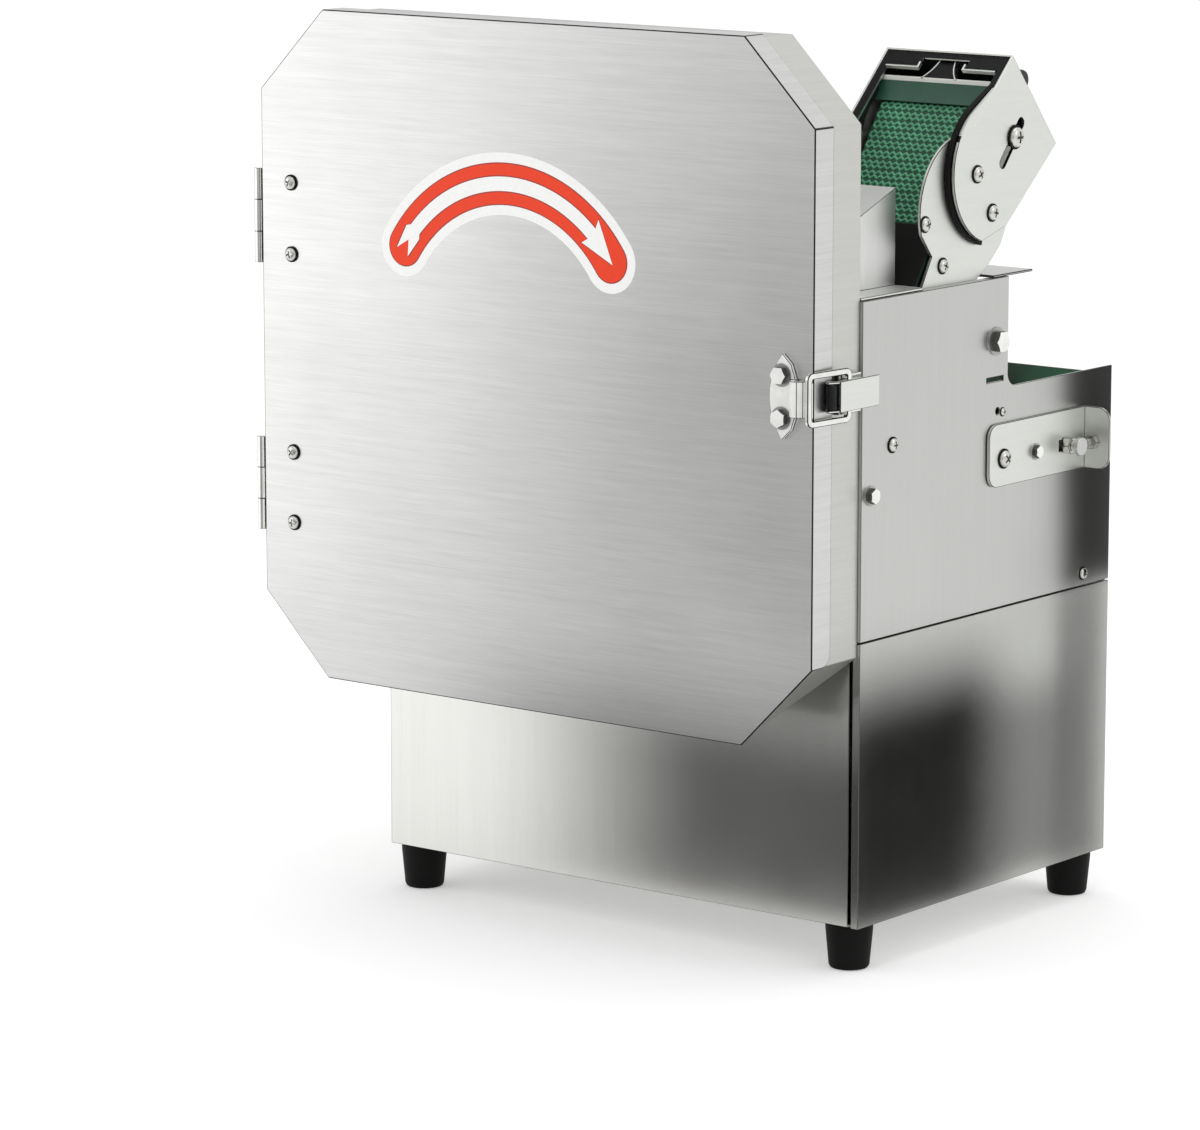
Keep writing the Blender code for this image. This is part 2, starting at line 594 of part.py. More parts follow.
def build_chamber(steel):
    """The octagonal ring behind the door. Its bottom is open, so that cut food falls out."""
    def inset(amount):
        chamfer = DOOR_CHAMFER - (SHEET + DOOR_FLANGE_GAP + amount) * (2 - math.sqrt(2))
        return octagon(CHAMBER_LEFT + amount, CHAMBER_RIGHT - amount, SHEET + amount, CHAMBER_TOP - amount,
                       chamfer)

    chamber = prism("Y", inset(0), CHAMBER_FRONT, CHAMBER_DEPTH)
    hollow = prism("Y", inset(SHEET), CHAMBER_FRONT - SHEET, CHAMBER_DEPTH - SHEET)
    lip = (CHAMBER_FRONT - 2 * SHEET, 2 * SHEET)
    wedge_outline = [lip, (CHAMBER_DEPTH, DOOR_CHAMFER), (CHAMBER_DEPTH + SHEET, DOOR_CHAMFER),
                     (CHAMBER_DEPTH + SHEET, -SHEET), (lip[0], -SHEET)]
    wedge = prism("X", wedge_outline, -SHEET, DOOR_WIDTH + SHEET)
    throat = box(CONVEYOR_BELT_LEFT, CONVEYOR_BELT_RIGHT, CHAMBER_DEPTH - 2 * SHEET, CHAMBER_DEPTH + SHEET,
                 CONVEYOR_TOP + SHEET, THROAT_TOP)
    shaft_hole = rod("Y", (KNIFE_X, KNIFE_Z), SHAFT_RADIUS + 2 * MM, CHAMBER_DEPTH - 2 * SHEET,
                     CHAMBER_DEPTH + SHEET)
    piece("cutting_chamber", cut(chamber, hollow, wedge, throat, shaft_hole), steel)


def side_outline(front, top):
    """A side wall seen from the right: high at the front, stepped down to the infeed at the rear."""
    corner = (STEP_Y + STEP_RADIUS, STEP_HEIGHT + STEP_RADIUS)
    bottom = SEAM_HEIGHT + SEAM_GAP / 2
    outline = [(front, bottom), (BODY_REAR, bottom), (BODY_REAR, STEP_HEIGHT)]
    outline += reversed(arc(corner, STEP_RADIUS, 180, 270, 5))
    return outline + [(STEP_Y, top), (front, top)]


def pan_head(centre, radius, height, face, seat):
    """A domed screw head on the right-hand wall, with a seat that reaches into the wall."""
    return turned("X", centre, [(radius, face - seat), (radius, face + height * 0.35),
                                (radius * 0.62, face + height)], SMALL_SEGMENTS)


def build_body(steel, dark_steel):
    """The lower box, the two side walls of the feed channel, the covers and the plates between them."""
    low_top = SEAM_HEIGHT - SEAM_GAP / 2
    floor_top = BODY_BOTTOM + SHEET
    front = BODY_FRONT

    inside_left = BODY_LEFT + SHEET + SEAT_GAP
    inside_right = PANEL_INNER - SEAT_GAP
    inside_rear = BODY_REAR - SHEET - SEAT_GAP
    inside_front = front + FRONT_PANEL_RECESS + SHEET + SEAT_GAP
    tray = box(inside_left, inside_right, inside_front, inside_rear, BODY_BOTTOM, floor_top)
    holes = [rod("Z", centre, FOOT_STUD_RADIUS + RUN_GAP, BODY_BOTTOM - SHEET, floor_top + SHEET,
                 SMALL_SEGMENTS) for centre in foot_places()]
    piece("base_tray", cut(tray, *holes), dark_steel)

    shell = box(BODY_LEFT, BODY_RIGHT, front, BODY_REAR, BODY_BOTTOM, low_top)
    room = box(BODY_LEFT + SHEET, PANEL_INNER, front + SHEET, BODY_REAR - SHEET, BODY_BOTTOM - SHEET,
               low_top + SHEET)
    doorway = box(BODY_LEFT - SHEET, BODY_RIGHT - FRONT_RETURN, front - SHEET, front + 2 * SHEET,
                  BODY_BOTTOM - SHEET, low_top + SHEET)
    stems = [rod("X", (y, CONTROL_Z), BUTTON_RADIUS + RUN_GAP, BODY_LEFT - SHEET, BODY_LEFT + 2 * SHEET)
             for y in (START_Y, STOP_Y)]
    stems.append(rod("X", (KNOB_Y, CONTROL_Z), KNOB_STEM_RADIUS + 2 * RUN_GAP, BODY_LEFT - SHEET,
                     BODY_LEFT + 2 * SHEET, SMALL_SEGMENTS))
    cable = rod("Y", (GLAND_X, GLAND_Z), GLAND_RADIUS * 0.7, BODY_REAR - 2 * SHEET, BODY_REAR + SHEET,
                SMALL_SEGMENTS)
    piece("lower_shell", cut(shell, room, doorway, *stems, cable), steel)

    panel_front = front + FRONT_PANEL_RECESS
    piece("front_panel", box(BODY_LEFT + SHEET + SEAT_GAP, BODY_RIGHT - FRONT_RETURN - FRONT_PANEL_SIDE_GAP,
                             panel_front, panel_front + SHEET, BODY_BOTTOM, low_top), steel)

    deck_bottom = low_top - 2 * SHEET
    deck = box(inside_left, inside_right, inside_front, inside_rear, deck_bottom, deck_bottom + SHEET)
    slot_half = KNIFE_PULLEY_RADIUS + 8 * MM
    belt_slot = box(KNIFE_X - slot_half, KNIFE_X + slot_half, PULLEY_FRONT - 6 * MM,
                    PULLEY_FRONT + PULLEY_WIDTH + 6 * MM, deck_bottom - SHEET, deck_bottom + 2 * SHEET)
    piece("deck_plate", cut(deck, belt_slot), dark_steel)

    build_right_panel(steel)
    build_channel_plate(steel)
    build_drive_cover(steel)

    piece("rear_sill", box(CHANNEL_LEFT + SEAT_GAP, PANEL_INNER - SEAT_GAP, BODY_REAR - SHEET, BODY_REAR,
                           SEAM_HEIGHT + SEAM_GAP / 2, STEP_HEIGHT - REAR_WALL_DROP), steel)
    piece("guard_plate", box(CHANNEL_LEFT + SEAT_GAP, BODY_RIGHT, GUARD_FRONT, GUARD_REAR,
                             PANEL_TOP + SEAT_GAP, PANEL_TOP + SEAT_GAP + SHEET), steel)
    piece("throat_floor", box(CHANNEL_LEFT + SEAT_GAP, BODY_RIGHT - FRONT_RETURN - SEAT_GAP, BODY_FRONT,
                              THROAT_FLOOR_END, CONVEYOR_TOP - SHEET, CONVEYOR_TOP), steel)


def tension_slot(left, right):
    """The slot in which the tail roller's axle is pulled back to tighten the belt."""
    half = AXLE_RADIUS + RUN_GAP
    reach = half + TENSION_TRAVEL
    return box(left, right, CONVEYOR_REAR_Y - reach, CONVEYOR_REAR_Y + reach, CONVEYOR_Z - half,
               CONVEYOR_Z + half)


def build_right_panel(steel):
    """The stepped right wall with its folded edges, screws and the front roller's blind bearing."""
    front = BODY_FRONT
    panel = prism("X", side_outline(front, PANEL_TOP), PANEL_INNER, BODY_RIGHT)
    bottom = SEAM_HEIGHT + SEAM_GAP / 2
    top_fold = box(CHEEK_RIGHT + SEAT_GAP, BODY_RIGHT, front, STEP_Y, PANEL_TOP - SHEET, PANEL_TOP)
    front_fold = box(BODY_RIGHT - FRONT_RETURN, BODY_RIGHT, front, front + SHEET, bottom, PANEL_TOP)
    rib_fold = box(PANEL_INNER - 6 * MM, BODY_RIGHT, front, BODY_REAR - SHEET - SEAT_GAP, bottom,
                   bottom + SHEET)
    bearing = rod("X", (CONVEYOR_FRONT_Y, CONVEYOR_Z), 14 * MM, CONVEYOR_BELT_RIGHT + 2.5 * MM,
                  BODY_RIGHT - SHEET / 2)
    screws = [
        pan_head(UPPER_SCREW, 4 * MM, 2.6 * MM, BODY_RIGHT, SHEET / 2),
        pan_head(LOWER_SCREW, 3.2 * MM, 2.2 * MM, BODY_RIGHT, SHEET / 2),
        hexagon("X", EDGE_BOLT, EDGE_BOLT_FLATS, BODY_RIGHT - SHEET / 2, BODY_RIGHT + 4 * MM),
        rod("X", PANEL_BOLT, PANEL_WASHER_RADIUS, BODY_RIGHT - SHEET / 2, BODY_RIGHT + 1.2 * MM),
        hexagon("X", PANEL_BOLT, PANEL_BOLT_FLATS, BODY_RIGHT - SHEET / 2, BODY_RIGHT + 6.5 * MM),
    ]
    panel = join(panel, top_fold, front_fold, rib_fold, bearing, *screws)
    bore = rod("X", (CONVEYOR_FRONT_Y, CONVEYOR_Z), JOURNAL_RADIUS + RUN_GAP, CONVEYOR_BELT_RIGHT,
               BODY_RIGHT - SHEET)
    slot = box(PANEL_INNER - SHEET, BODY_RIGHT + SHEET, PANEL_SLOT[0] - PANEL_SLOT_LENGTH / 2,
               PANEL_SLOT[0] + PANEL_SLOT_LENGTH / 2, PANEL_SLOT[1] - PANEL_SLOT_WIDTH / 2,
               PANEL_SLOT[1] + PANEL_SLOT_WIDTH / 2)
    hole = rod("X", PANEL_HOLE, PANEL_HOLE_RADIUS, PANEL_INNER - SHEET, BODY_RIGHT + SHEET, SMALL_SEGMENTS)
    travel = tension_slot(PANEL_INNER - SHEET, BODY_RIGHT + SHEET)
    piece("right_side_panel", cut(panel, bore, slot, hole, travel), steel)


def build_channel_plate(steel):
    """The inner wall between the feed channel and the drive, with holes for the three shafts."""
    left = CHANNEL_LEFT - SHEET
    plate = prism("X", side_outline(BODY_FRONT, PANEL_TOP), left, CHANNEL_LEFT)
    holes = [rod("X", centre, JOURNAL_RADIUS + RUN_GAP, left - SHEET, CHANNEL_LEFT + SHEET)
             for centre in ((CONVEYOR_FRONT_Y, CONVEYOR_Z), (CONVEYOR_REAR_Y, CONVEYOR_Z), PRESS_LOWER)]
    piece("channel_plate", cut(plate, *holes), steel)


def build_drive_cover(steel):
    """A folded cover over the knife's drive, with a sloping back."""
    bottom = SEAM_HEIGHT + SEAM_GAP / 2
    right = CHANNEL_LEFT - SHEET - SEAT_GAP
    outline = [(BODY_FRONT, bottom), (BODY_REAR, bottom), (BODY_REAR, STEP_HEIGHT),
               (COVER_SLOPE_Y, COVER_TOP), (BODY_FRONT, COVER_TOP)]
    slope = math.atan2(COVER_TOP - STEP_HEIGHT, BODY_REAR - COVER_SLOPE_Y)
    shift = SHEET * math.tan(slope / 2)
    inner = [(BODY_FRONT - SHEET, bottom - SHEET), (BODY_REAR - SHEET, bottom - SHEET),
             (BODY_REAR - SHEET, STEP_HEIGHT - shift), (COVER_SLOPE_Y - shift, COVER_TOP - SHEET),
             (BODY_FRONT - SHEET, COVER_TOP - SHEET)]
    cover = prism("X", outline, BODY_LEFT, right)
    room = prism("X", inner, BODY_LEFT + SHEET, right + SHEET)
    piece("drive_cover", cut(cover, room), steel)


def foot_places():
    across = (BODY_LEFT + FOOT_INSET + SHEET, BODY_RIGHT - FOOT_INSET - SHEET)
    along = (BODY_FRONT + FOOT_INSET, BODY_REAR - FOOT_INSET)
    return [(x, y) for y in along for x in across]


def build_feet(rubber):
    """Four turned rubber feet, each with its stud through the tray."""
    names = ("front_left", "front_right", "rear_left", "rear_right")
    top = BODY_BOTTOM - SEAT_GAP
    for name, centre in zip(names, foot_places()):
        profile = [(FOOT_RADIUS_BOTTOM, FLOOR), (FOOT_RADIUS_BOTTOM + 1 * MM, FLOOR + 2 * MM),
                   (FOOT_RADIUS_TOP, top - 3 * MM), (FOOT_RADIUS_TOP, top), (FOOT_STUD_RADIUS, top),
                   (FOOT_STUD_RADIUS, top + FOOT_STUD_LENGTH)]
        piece(f"foot_{name}", turned("Z", centre, profile, 24), rubber)


def build_knife(steel, blade_steel, zinc):
    """The slotted knife disc with its curved blades, hub, shaft and pulley, all on one axis along Y."""
    centre = (KNIFE_X, KNIFE_Z)
    blade_rear = CHAMBER_DEPTH - SHEET - BLADE_BACK_GAP
    blade_front = blade_rear - BLADE_THICKNESS
    disc_rear = blade_front - SEAT_GAP
    disc_front = disc_rear - KNIFE_THICKNESS
    axis_point = (KNIFE_X, disc_rear, KNIFE_Z)

    def spiral(start, width, inner, outer, steps=12):
        """A curved band between two radii that leans back as it runs outward."""
        lead, trail = [], []
        for step in range(steps + 1):
            share = step / steps
            radius = inner + (outer - inner) * share
            turn = start + BLADE_SWEEP * share
            lead.append((KNIFE_X + radius * math.cos(turn), KNIFE_Z + radius * math.sin(turn)))
            turn += width * (1 - 0.45 * share) / radius
            trail.append((KNIFE_X + radius * math.cos(turn), KNIFE_Z + radius * math.sin(turn)))
        return lead + trail[::-1]

    starts = [2 * math.pi * blade / BLADE_COUNT for blade in range(BLADE_COUNT)]
    disc = rod("Y", centre, KNIFE_RADIUS, disc_front, disc_rear, 64)
    windows = [prism("Y", spiral(start - WINDOW_WIDTH / BLADE_INNER, WINDOW_WIDTH, BLADE_INNER, BLADE_OUTER),
                     disc_front - SHEET, disc_rear + SHEET) for start in starts]
    bore = rod("Y", centre, SHAFT_RADIUS + RUN_GAP, disc_front - SHEET, disc_rear + SHEET)
    piece("knife_disc", cut(disc, *windows, bore), steel, axis_point)

    for number, start in enumerate(starts, 1):
        blade = prism("Y", spiral(start, BLADE_WIDTH, BLADE_INNER, BLADE_OUTER), blade_front, blade_rear)
        piece(f"knife_blade_{number}", blade, blade_steel, axis_point)

    hub_rear = disc_front - SEAT_GAP
    hub = turned("Y", centre, [(HUB_RADIUS * 0.55, hub_rear - HUB_LENGTH),
                               (HUB_RADIUS * 0.62, hub_rear - HUB_LENGTH * 0.45),
                               (HUB_RADIUS, hub_rear - HUB_LENGTH * 0.4), (HUB_RADIUS, hub_rear)])
    hub_bore = rod("Y", centre, SHAFT_RADIUS + RUN_GAP, hub_rear - 2 * HUB_LENGTH, hub_rear + SHEET)
    piece("knife_hub", cut(hub, hub_bore), steel, axis_point)

    nut_rear = hub_rear - HUB_LENGTH - SEAT_GAP
    collar_front = blade_rear + BLADE_BACK_GAP - SHEET
    profile = [(9 * MM, SHAFT_FRONT), (9 * MM, nut_rear - 9 * MM), (14 * MM, nut_rear - 9 * MM),
               (14 * MM, nut_rear), (SHAFT_RADIUS, nut_rear), (SHAFT_RADIUS, SHAFT_REAR - 2 * MM),
               (SHAFT_RADIUS - 2 * MM, SHAFT_REAR)]
    piece("knife_shaft", turned("Y", centre, profile), zinc, (KNIFE_X, collar_front, KNIFE_Z))

    flange_front = CHAMBER_DEPTH + SEAT_GAP
    tube = turned("Y", centre, [(BEARING_FLANGE_RADIUS, flange_front),
                                (BEARING_FLANGE_RADIUS, flange_front + BEARING_FLANGE_LENGTH),
                                (BEARING_RADIUS, flange_front + BEARING_FLANGE_LENGTH),
                                (BEARING_RADIUS, BEARING_REAR)])
    bearing_bore = rod("Y", centre, SHAFT_RADIUS + RUN_GAP, flange_front - SHEET, BEARING_REAR + SHEET)
    piece("knife_bearing", cut(tube, bearing_bore), steel)

    build_pulley("knife_pulley", centre, KNIFE_PULLEY_RADIUS, SHAFT_RADIUS + RUN_GAP, zinc)


def pulley_profile(radius):
    groove = radius - PULLEY_GROOVE_DEPTH
    rear = PULLEY_FRONT + PULLEY_WIDTH
    return [(radius, PULLEY_FRONT), (radius, PULLEY_FRONT + PULLEY_FLANGE),
            (groove, PULLEY_FRONT + PULLEY_FLANGE), (groove, rear - PULLEY_FLANGE),
            (radius, rear - PULLEY_FLANGE), (radius, rear)]


def build_pulley(name, centre, radius, bore_radius, material):
    pulley = turned("Y", centre, pulley_profile(radius))
    bore = rod("Y", centre, bore_radius, PULLEY_FRONT - SHEET, PULLEY_FRONT + PULLEY_WIDTH + SHEET)
    piece(name, cut(pulley, bore), material, (centre[0], PULLEY_FRONT, centre[1]))


def build_knife_drive(motor_paint, zinc, rubber):
    """The motor under the deck, its pulley on its shaft, and the belt up to the knife's pulley."""
    centre = (KNIFE_X, MOTOR_Z)
    casing = turned("Y", centre, [(MOTOR_RADIUS * 0.8, MOTOR_FRONT), (MOTOR_RADIUS, MOTOR_FRONT + 8 * MM),
                                  (MOTOR_RADIUS, MOTOR_REAR - 10 * MM), (MOTOR_RADIUS * 0.75, MOTOR_REAR)])
    deck_bottom = SEAM_HEIGHT - SEAM_GAP / 2 - 2 * SHEET
    saddle = box(KNIFE_X - 44 * MM, KNIFE_X + 44 * MM, MOTOR_FRONT + 15 * MM, MOTOR_REAR - 15 * MM,
                 MOTOR_Z + MOTOR_RADIUS * 0.6, deck_bottom - SEAT_GAP)
    motor = join(casing, saddle)
    bore = rod("Y", centre, MOTOR_SHAFT_RADIUS + RUN_GAP, MOTOR_REAR - 24 * MM, MOTOR_REAR + SHEET)
    piece("drive_motor", cut(motor, bore), motor_paint)

    pulley = turned("Y", centre, pulley_profile(MOTOR_PULLEY_RADIUS))
    shaft = rod("Y", centre, MOTOR_SHAFT_RADIUS, MOTOR_REAR - 20 * MM, PULLEY_FRONT + PULLEY_WIDTH + 4 * MM)
    piece("motor_pulley", join(pulley, shaft), zinc, (KNIFE_X, PULLEY_FRONT, MOTOR_Z))

    def loop(extra):
        return belt_outline((KNIFE_X, MOTOR_Z), MOTOR_PULLEY_RADIUS - PULLEY_GROOVE_DEPTH + extra,
                            (KNIFE_X, KNIFE_Z), KNIFE_PULLEY_RADIUS - PULLEY_GROOVE_DEPTH + extra)

    front = PULLEY_FRONT + PULLEY_FLANGE + SEAT_GAP
    rear = PULLEY_FRONT + PULLEY_WIDTH - PULLEY_FLANGE - SEAT_GAP
    belt = prism("Y", loop(PULLEY_GROOVE_DEPTH + 1 * MM), front, rear)
    piece("drive_belt", cut(belt, prism("Y", loop(SEAT_GAP), front - SHEET, rear + SHEET)), rubber)


def gear_pitch_radius():
    gap = Vector(PRESS_LOWER) - Vector((CONVEYOR_FRONT_Y, CONVEYOR_Z))
    return gap.length / 2


def build_gear(name, centre, phase, material):
    outline = gear_outline(centre, gear_pitch_radius(), GEAR_TEETH, phase)
    gear = prism("X", outline, GEAR_RIGHT - GEAR_WIDTH, GEAR_RIGHT)
    bore = rod("X", centre, JOURNAL_RADIUS + RUN_GAP, GEAR_RIGHT - GEAR_WIDTH - SHEET, GEAR_RIGHT + SHEET)
    piece(name, cut(gear, bore), material, (GEAR_RIGHT, *centre))


def build_roller(name, centre, belt_radius, belt_left, belt_right, shaft_left, shaft_right, material,
                 left_end=(), right_end=()):
    """A drum that just fills its belt's loop, turned in one piece with its journals and axle ends."""
    radius = belt_radius - BELT_THICKNESS - SEAT_GAP
    left = belt_left - ROLLER_OVERHANG
    right = belt_right + ROLLER_OVERHANG
    profile = [*left_end, (JOURNAL_RADIUS, shaft_left), (JOURNAL_RADIUS, left), (radius, left),
               (radius, right), (JOURNAL_RADIUS, right), (JOURNAL_RADIUS, shaft_right), *right_end]
    piece(name, turned("X", centre, profile), material, (left, *centre))


def build_belt(name, first, first_radius, second, second_radius, left, right, material):
    belt = prism("X", belt_outline(first, first_radius, second, second_radius, 16), left, right)
    inside = belt_outline(first, first_radius - BELT_THICKNESS, second, second_radius - BELT_THICKNESS, 16)
    piece(name, cut(belt, prism("X", inside, left - SHEET, right + SHEET)), material)


def build_conveyors(green, steel, zinc, motor_paint):
    """The feed belt, the press belt above it, their rollers, and the gear pair that ties them."""
    front = (CONVEYOR_FRONT_Y, CONVEYOR_Z)
    rear = (CONVEYOR_REAR_Y, CONVEYOR_Z)
    gear_left = GEAR_RIGHT - GEAR_WIDTH
    build_belt("feed_belt", front, CONVEYOR_BELT_RADIUS, rear, CONVEYOR_BELT_RADIUS, CONVEYOR_BELT_LEFT,
               CONVEYOR_BELT_RIGHT, green)
    build_roller("feed_drive_roller", front, CONVEYOR_BELT_RADIUS, CONVEYOR_BELT_LEFT, CONVEYOR_BELT_RIGHT,
                 gear_left - 8 * MM, PANEL_INNER - SHEET, steel)
    wall = PANEL_INNER - RUN_GAP
    nut = TENSION_EYE_RIGHT + RUN_GAP
    build_roller("feed_tail_roller", rear, CONVEYOR_BELT_RADIUS, CONVEYOR_BELT_LEFT, CONVEYOR_BELT_RIGHT,
                 CHANNEL_LEFT - 6 * MM, wall, steel,
                 right_end=((AXLE_RADIUS, wall), (AXLE_RADIUS, nut), (TENSION_EYE_RADIUS, nut),
                            (TENSION_EYE_RADIUS, nut + 3 * MM)))

    build_belt("press_belt", PRESS_LOWER, PRESS_LOWER_RADIUS, PRESS_UPPER, PRESS_UPPER_RADIUS,
               PRESS_BELT_LEFT, PRESS_BELT_RIGHT, green)
    build_roller("press_drive_roller", PRESS_LOWER, PRESS_LOWER_RADIUS, PRESS_BELT_LEFT, PRESS_BELT_RIGHT,
                 gear_left - 2 * MM, CHEEK_RIGHT, steel)
    plate_left = HEAD_LEFT + HEAD_THICKNESS + RUN_GAP
    plate_right = HEAD_RIGHT - HEAD_THICKNESS - RUN_GAP
    head = HEAD_RIGHT + RUN_GAP
    build_roller("press_tail_roller", PRESS_UPPER, PRESS_UPPER_RADIUS, PRESS_BELT_LEFT, PRESS_BELT_RIGHT,
                 plate_left, plate_right, steel,
                 left_end=((AXLE_RADIUS, HEAD_LEFT), (AXLE_RADIUS, plate_left)),
                 right_end=((AXLE_RADIUS, plate_right), (AXLE_RADIUS, head), (AXLE_HEAD_RADIUS, head),
                            (AXLE_HEAD_RADIUS, head + AXLE_HEAD_HEIGHT * 0.4),
                            (AXLE_HEAD_RADIUS * 0.62, head + AXLE_HEAD_HEIGHT)))

    toward = math.atan2(PRESS_LOWER[1] - CONVEYOR_Z, PRESS_LOWER[0] - CONVEYOR_FRONT_Y)
    build_gear("feed_gear", front, toward, zinc)
    build_gear("press_gear", PRESS_LOWER, toward + math.pi + math.pi / GEAR_TEETH, zinc)

    flange_right = gear_left - GEARBOX_GAP
    box_left = flange_right - GEARBOX_LENGTH
    motor_left = box_left - FEED_MOTOR_LENGTH
    gearbox = turned("X", front, [(FEED_MOTOR_RADIUS * 0.9, motor_left),
                                  (FEED_MOTOR_RADIUS, motor_left + FEED_MOTOR_LENGTH / 10),
                                  (FEED_MOTOR_RADIUS, box_left), (GEARBOX_RADIUS, box_left),
                                  (GEARBOX_RADIUS, flange_right)])
    post_middle = (box_left + flange_right) / 2
    post = box(post_middle - MOTOR_POST_LENGTH / 2, post_middle + MOTOR_POST_LENGTH / 2,
               CONVEYOR_FRONT_Y - MOTOR_POST_WIDTH / 2, CONVEYOR_FRONT_Y + MOTOR_POST_WIDTH / 2,
               SEAM_HEIGHT - SEAM_GAP / 2 - SHEET + SEAT_GAP, CONVEYOR_Z)
    motor = join(gearbox, post)
    bore = rod("X", front, JOURNAL_RADIUS + RUN_GAP, box_left + GEARBOX_LENGTH * 0.3, flange_right + SHEET)
    piece("feed_gearmotor", cut(motor, bore), motor_paint)


def strip(start, end, thickness, inset):
    """A straight strip of sheet whose outer face lies just inside the line from start to end."""
    along = (Vector(end) - Vector(start)).normalized()
    inward = Vector((along.y, -along.x))
    start = Vector(start) + inward * inset + along * inset
    end = Vector(end) + inward * inset - along * inset
    return [tuple(point) for point in (start, end, end + inward * thickness, start + inward * thickness)]


def cheek_outline():
    """The cheek that carries the press belt, with a rounded front, a finger notch and an axle lobe."""
    outline = arc(CHEEK_LOBE, CHEEK_LOBE_RADIUS, 90, 195, 14)
    outline += CHEEK_NOTCH
    outline += arc(PRESS_LOWER, CHEEK_FOOT_RADIUS, 180, 315, 9)
    return outline + list(CHEEK_BACK)


def head_outline():
    """The plate that carries the upper drum: a peaked top and a round lobe below."""
    outline = [HEAD_TOP, HEAD_SHOULDER]
    outline += arc(HEAD_LOBE, HEAD_LOBE_RADIUS, 145, 252, 14)
    return outline + [HEAD_HEEL, HEAD_REAR]


def build_press_head(steel, zinc, white):
    """The two cheeks, the frame with slotted plates that holds the upper drum, and the scraper bar."""
    bore = JOURNAL_RADIUS + RUN_GAP
    for label, left in (("left", CHEEK_LEFT), ("right", CHEEK_RIGHT - CHEEK_THICKNESS)):
        cheek = prism("X", cheek_outline(), left, left + CHEEK_THICKNESS)
        hole = rod("X", PRESS_LOWER, bore, left - SHEET, left + CHEEK_THICKNESS + SHEET)
        if label == "right":
            heads = [pan_head(place, 4 * MM, 3 * MM, CHEEK_RIGHT, SHEET / 2) for place in CHEEK_SCREWS]
            cheek = join(cheek, *heads)
        piece(f"press_cheek_{label}", cut(cheek, hole), steel)

    plates = [prism("X", head_outline(), low, low + HEAD_THICKNESS)
              for low in (HEAD_LEFT, HEAD_RIGHT - HEAD_THICKNESS)]
    seam = HEAD_THICKNESS / 4
    roof_low = Vector(HEAD_REAR) + (Vector(HEAD_TOP) - Vector(HEAD_REAR)).normalized() * HEAD_ROOF_STOP
    top_sheet = prism("X", strip(HEAD_TOP, roof_low, HEAD_THICKNESS, seam), HEAD_LEFT + seam,
                      HEAD_RIGHT - seam)
    edge = (Vector(HEAD_TOP) - Vector(HEAD_SHOULDER)).normalized()
    front_sheet = prism("X", strip(HEAD_SHOULDER, HEAD_TOP, HEAD_THICKNESS, seam), HEAD_LEFT + seam,
                        HEAD_RIGHT - seam)
    brow_end = Vector(HEAD_TOP) - edge * HEAD_BROW
    opening = prism("X", strip(Vector(HEAD_SHOULDER) - edge * HEAD_BROW, brow_end - edge * HEAD_THICKNESS,
                               3 * HEAD_THICKNESS, -HEAD_THICKNESS),
                    HEAD_LEFT + HEAD_RETURN, HEAD_RIGHT - HEAD_RETURN)
    front_sheet = cut(front_sheet, opening)
    bosses = []
    for place in HEAD_BOSSES:
        bosses.append(rod("X", place, HEAD_BOSS_RADIUS, CHEEK_RIGHT + SEAT_GAP, HEAD_RIGHT - SHEET / 2,
                          SMALL_SEGMENTS))
        bosses.append(pan_head(place, HEAD_BOSS_RADIUS, 3 * MM, HEAD_RIGHT, SHEET / 2))
    down_roof = (Vector(HEAD_REAR) - Vector(HEAD_TOP)).normalized()
    catch = rod("X", tuple(Vector(HEAD_TOP) + down_roof * HEAD_CATCH_PLACE), HEAD_CATCH_RADIUS,
                HEAD_RIGHT - 15 * MM, HEAD_RIGHT - 5 * MM, SMALL_SEGMENTS)
    head = join(plates[0], top_sheet, front_sheet, catch, plates[1], *bosses)
    along = Vector((math.cos(HEAD_SLOT_TURN), math.sin(HEAD_SLOT_TURN)))
    low_end = tuple(Vector(PRESS_UPPER) - along * HEAD_SLOT_DOWN)
    high_end = tuple(Vector(PRESS_UPPER) + along * HEAD_SLOT_UP)
    slot_half = AXLE_RADIUS + RUN_GAP
    slot = prism("X", belt_outline(low_end, slot_half, high_end, slot_half, 8), HEAD_LEFT - SHEET,
                 HEAD_RIGHT + SHEET)
    side = (HEAD_RIGHT - HEAD_LEFT - HEAD_BROW_WINDOW) / 2
    window = box(HEAD_LEFT + side, HEAD_RIGHT - side, brow_end.x - 2 * SHEET, HEAD_TOP[0] - HEAD_THICKNESS,
                 brow_end.y - 2 * SHEET, HEAD_TOP[1] - 2 * HEAD_THICKNESS)
    piece("press_head_frame", cut(head, slot, window), steel)

    left = HEAD_LEFT + HEAD_THICKNESS + SEAT_GAP
    right = HEAD_RIGHT - HEAD_THICKNESS - SEAT_GAP
    bar = box(left, right, SCRAPER_FRONT, SCRAPER_FRONT + SCRAPER_BAR, SCRAPER_TOP - SCRAPER_BAR,
              SCRAPER_TOP)
    offset = PRESS_UPPER[0] - SCRAPER_FRONT
    belt_height = math.sqrt(PRESS_UPPER_RADIUS ** 2 - offset ** 2)
    apron = box(left, right, SCRAPER_FRONT, SCRAPER_FRONT + SCRAPER_SHEET,
                PRESS_UPPER[1] + belt_height + SCRAPER_BELT_GAP, SCRAPER_TOP - SCRAPER_BAR / 2)
    piece("scraper_bar", join(bar, apron), white)


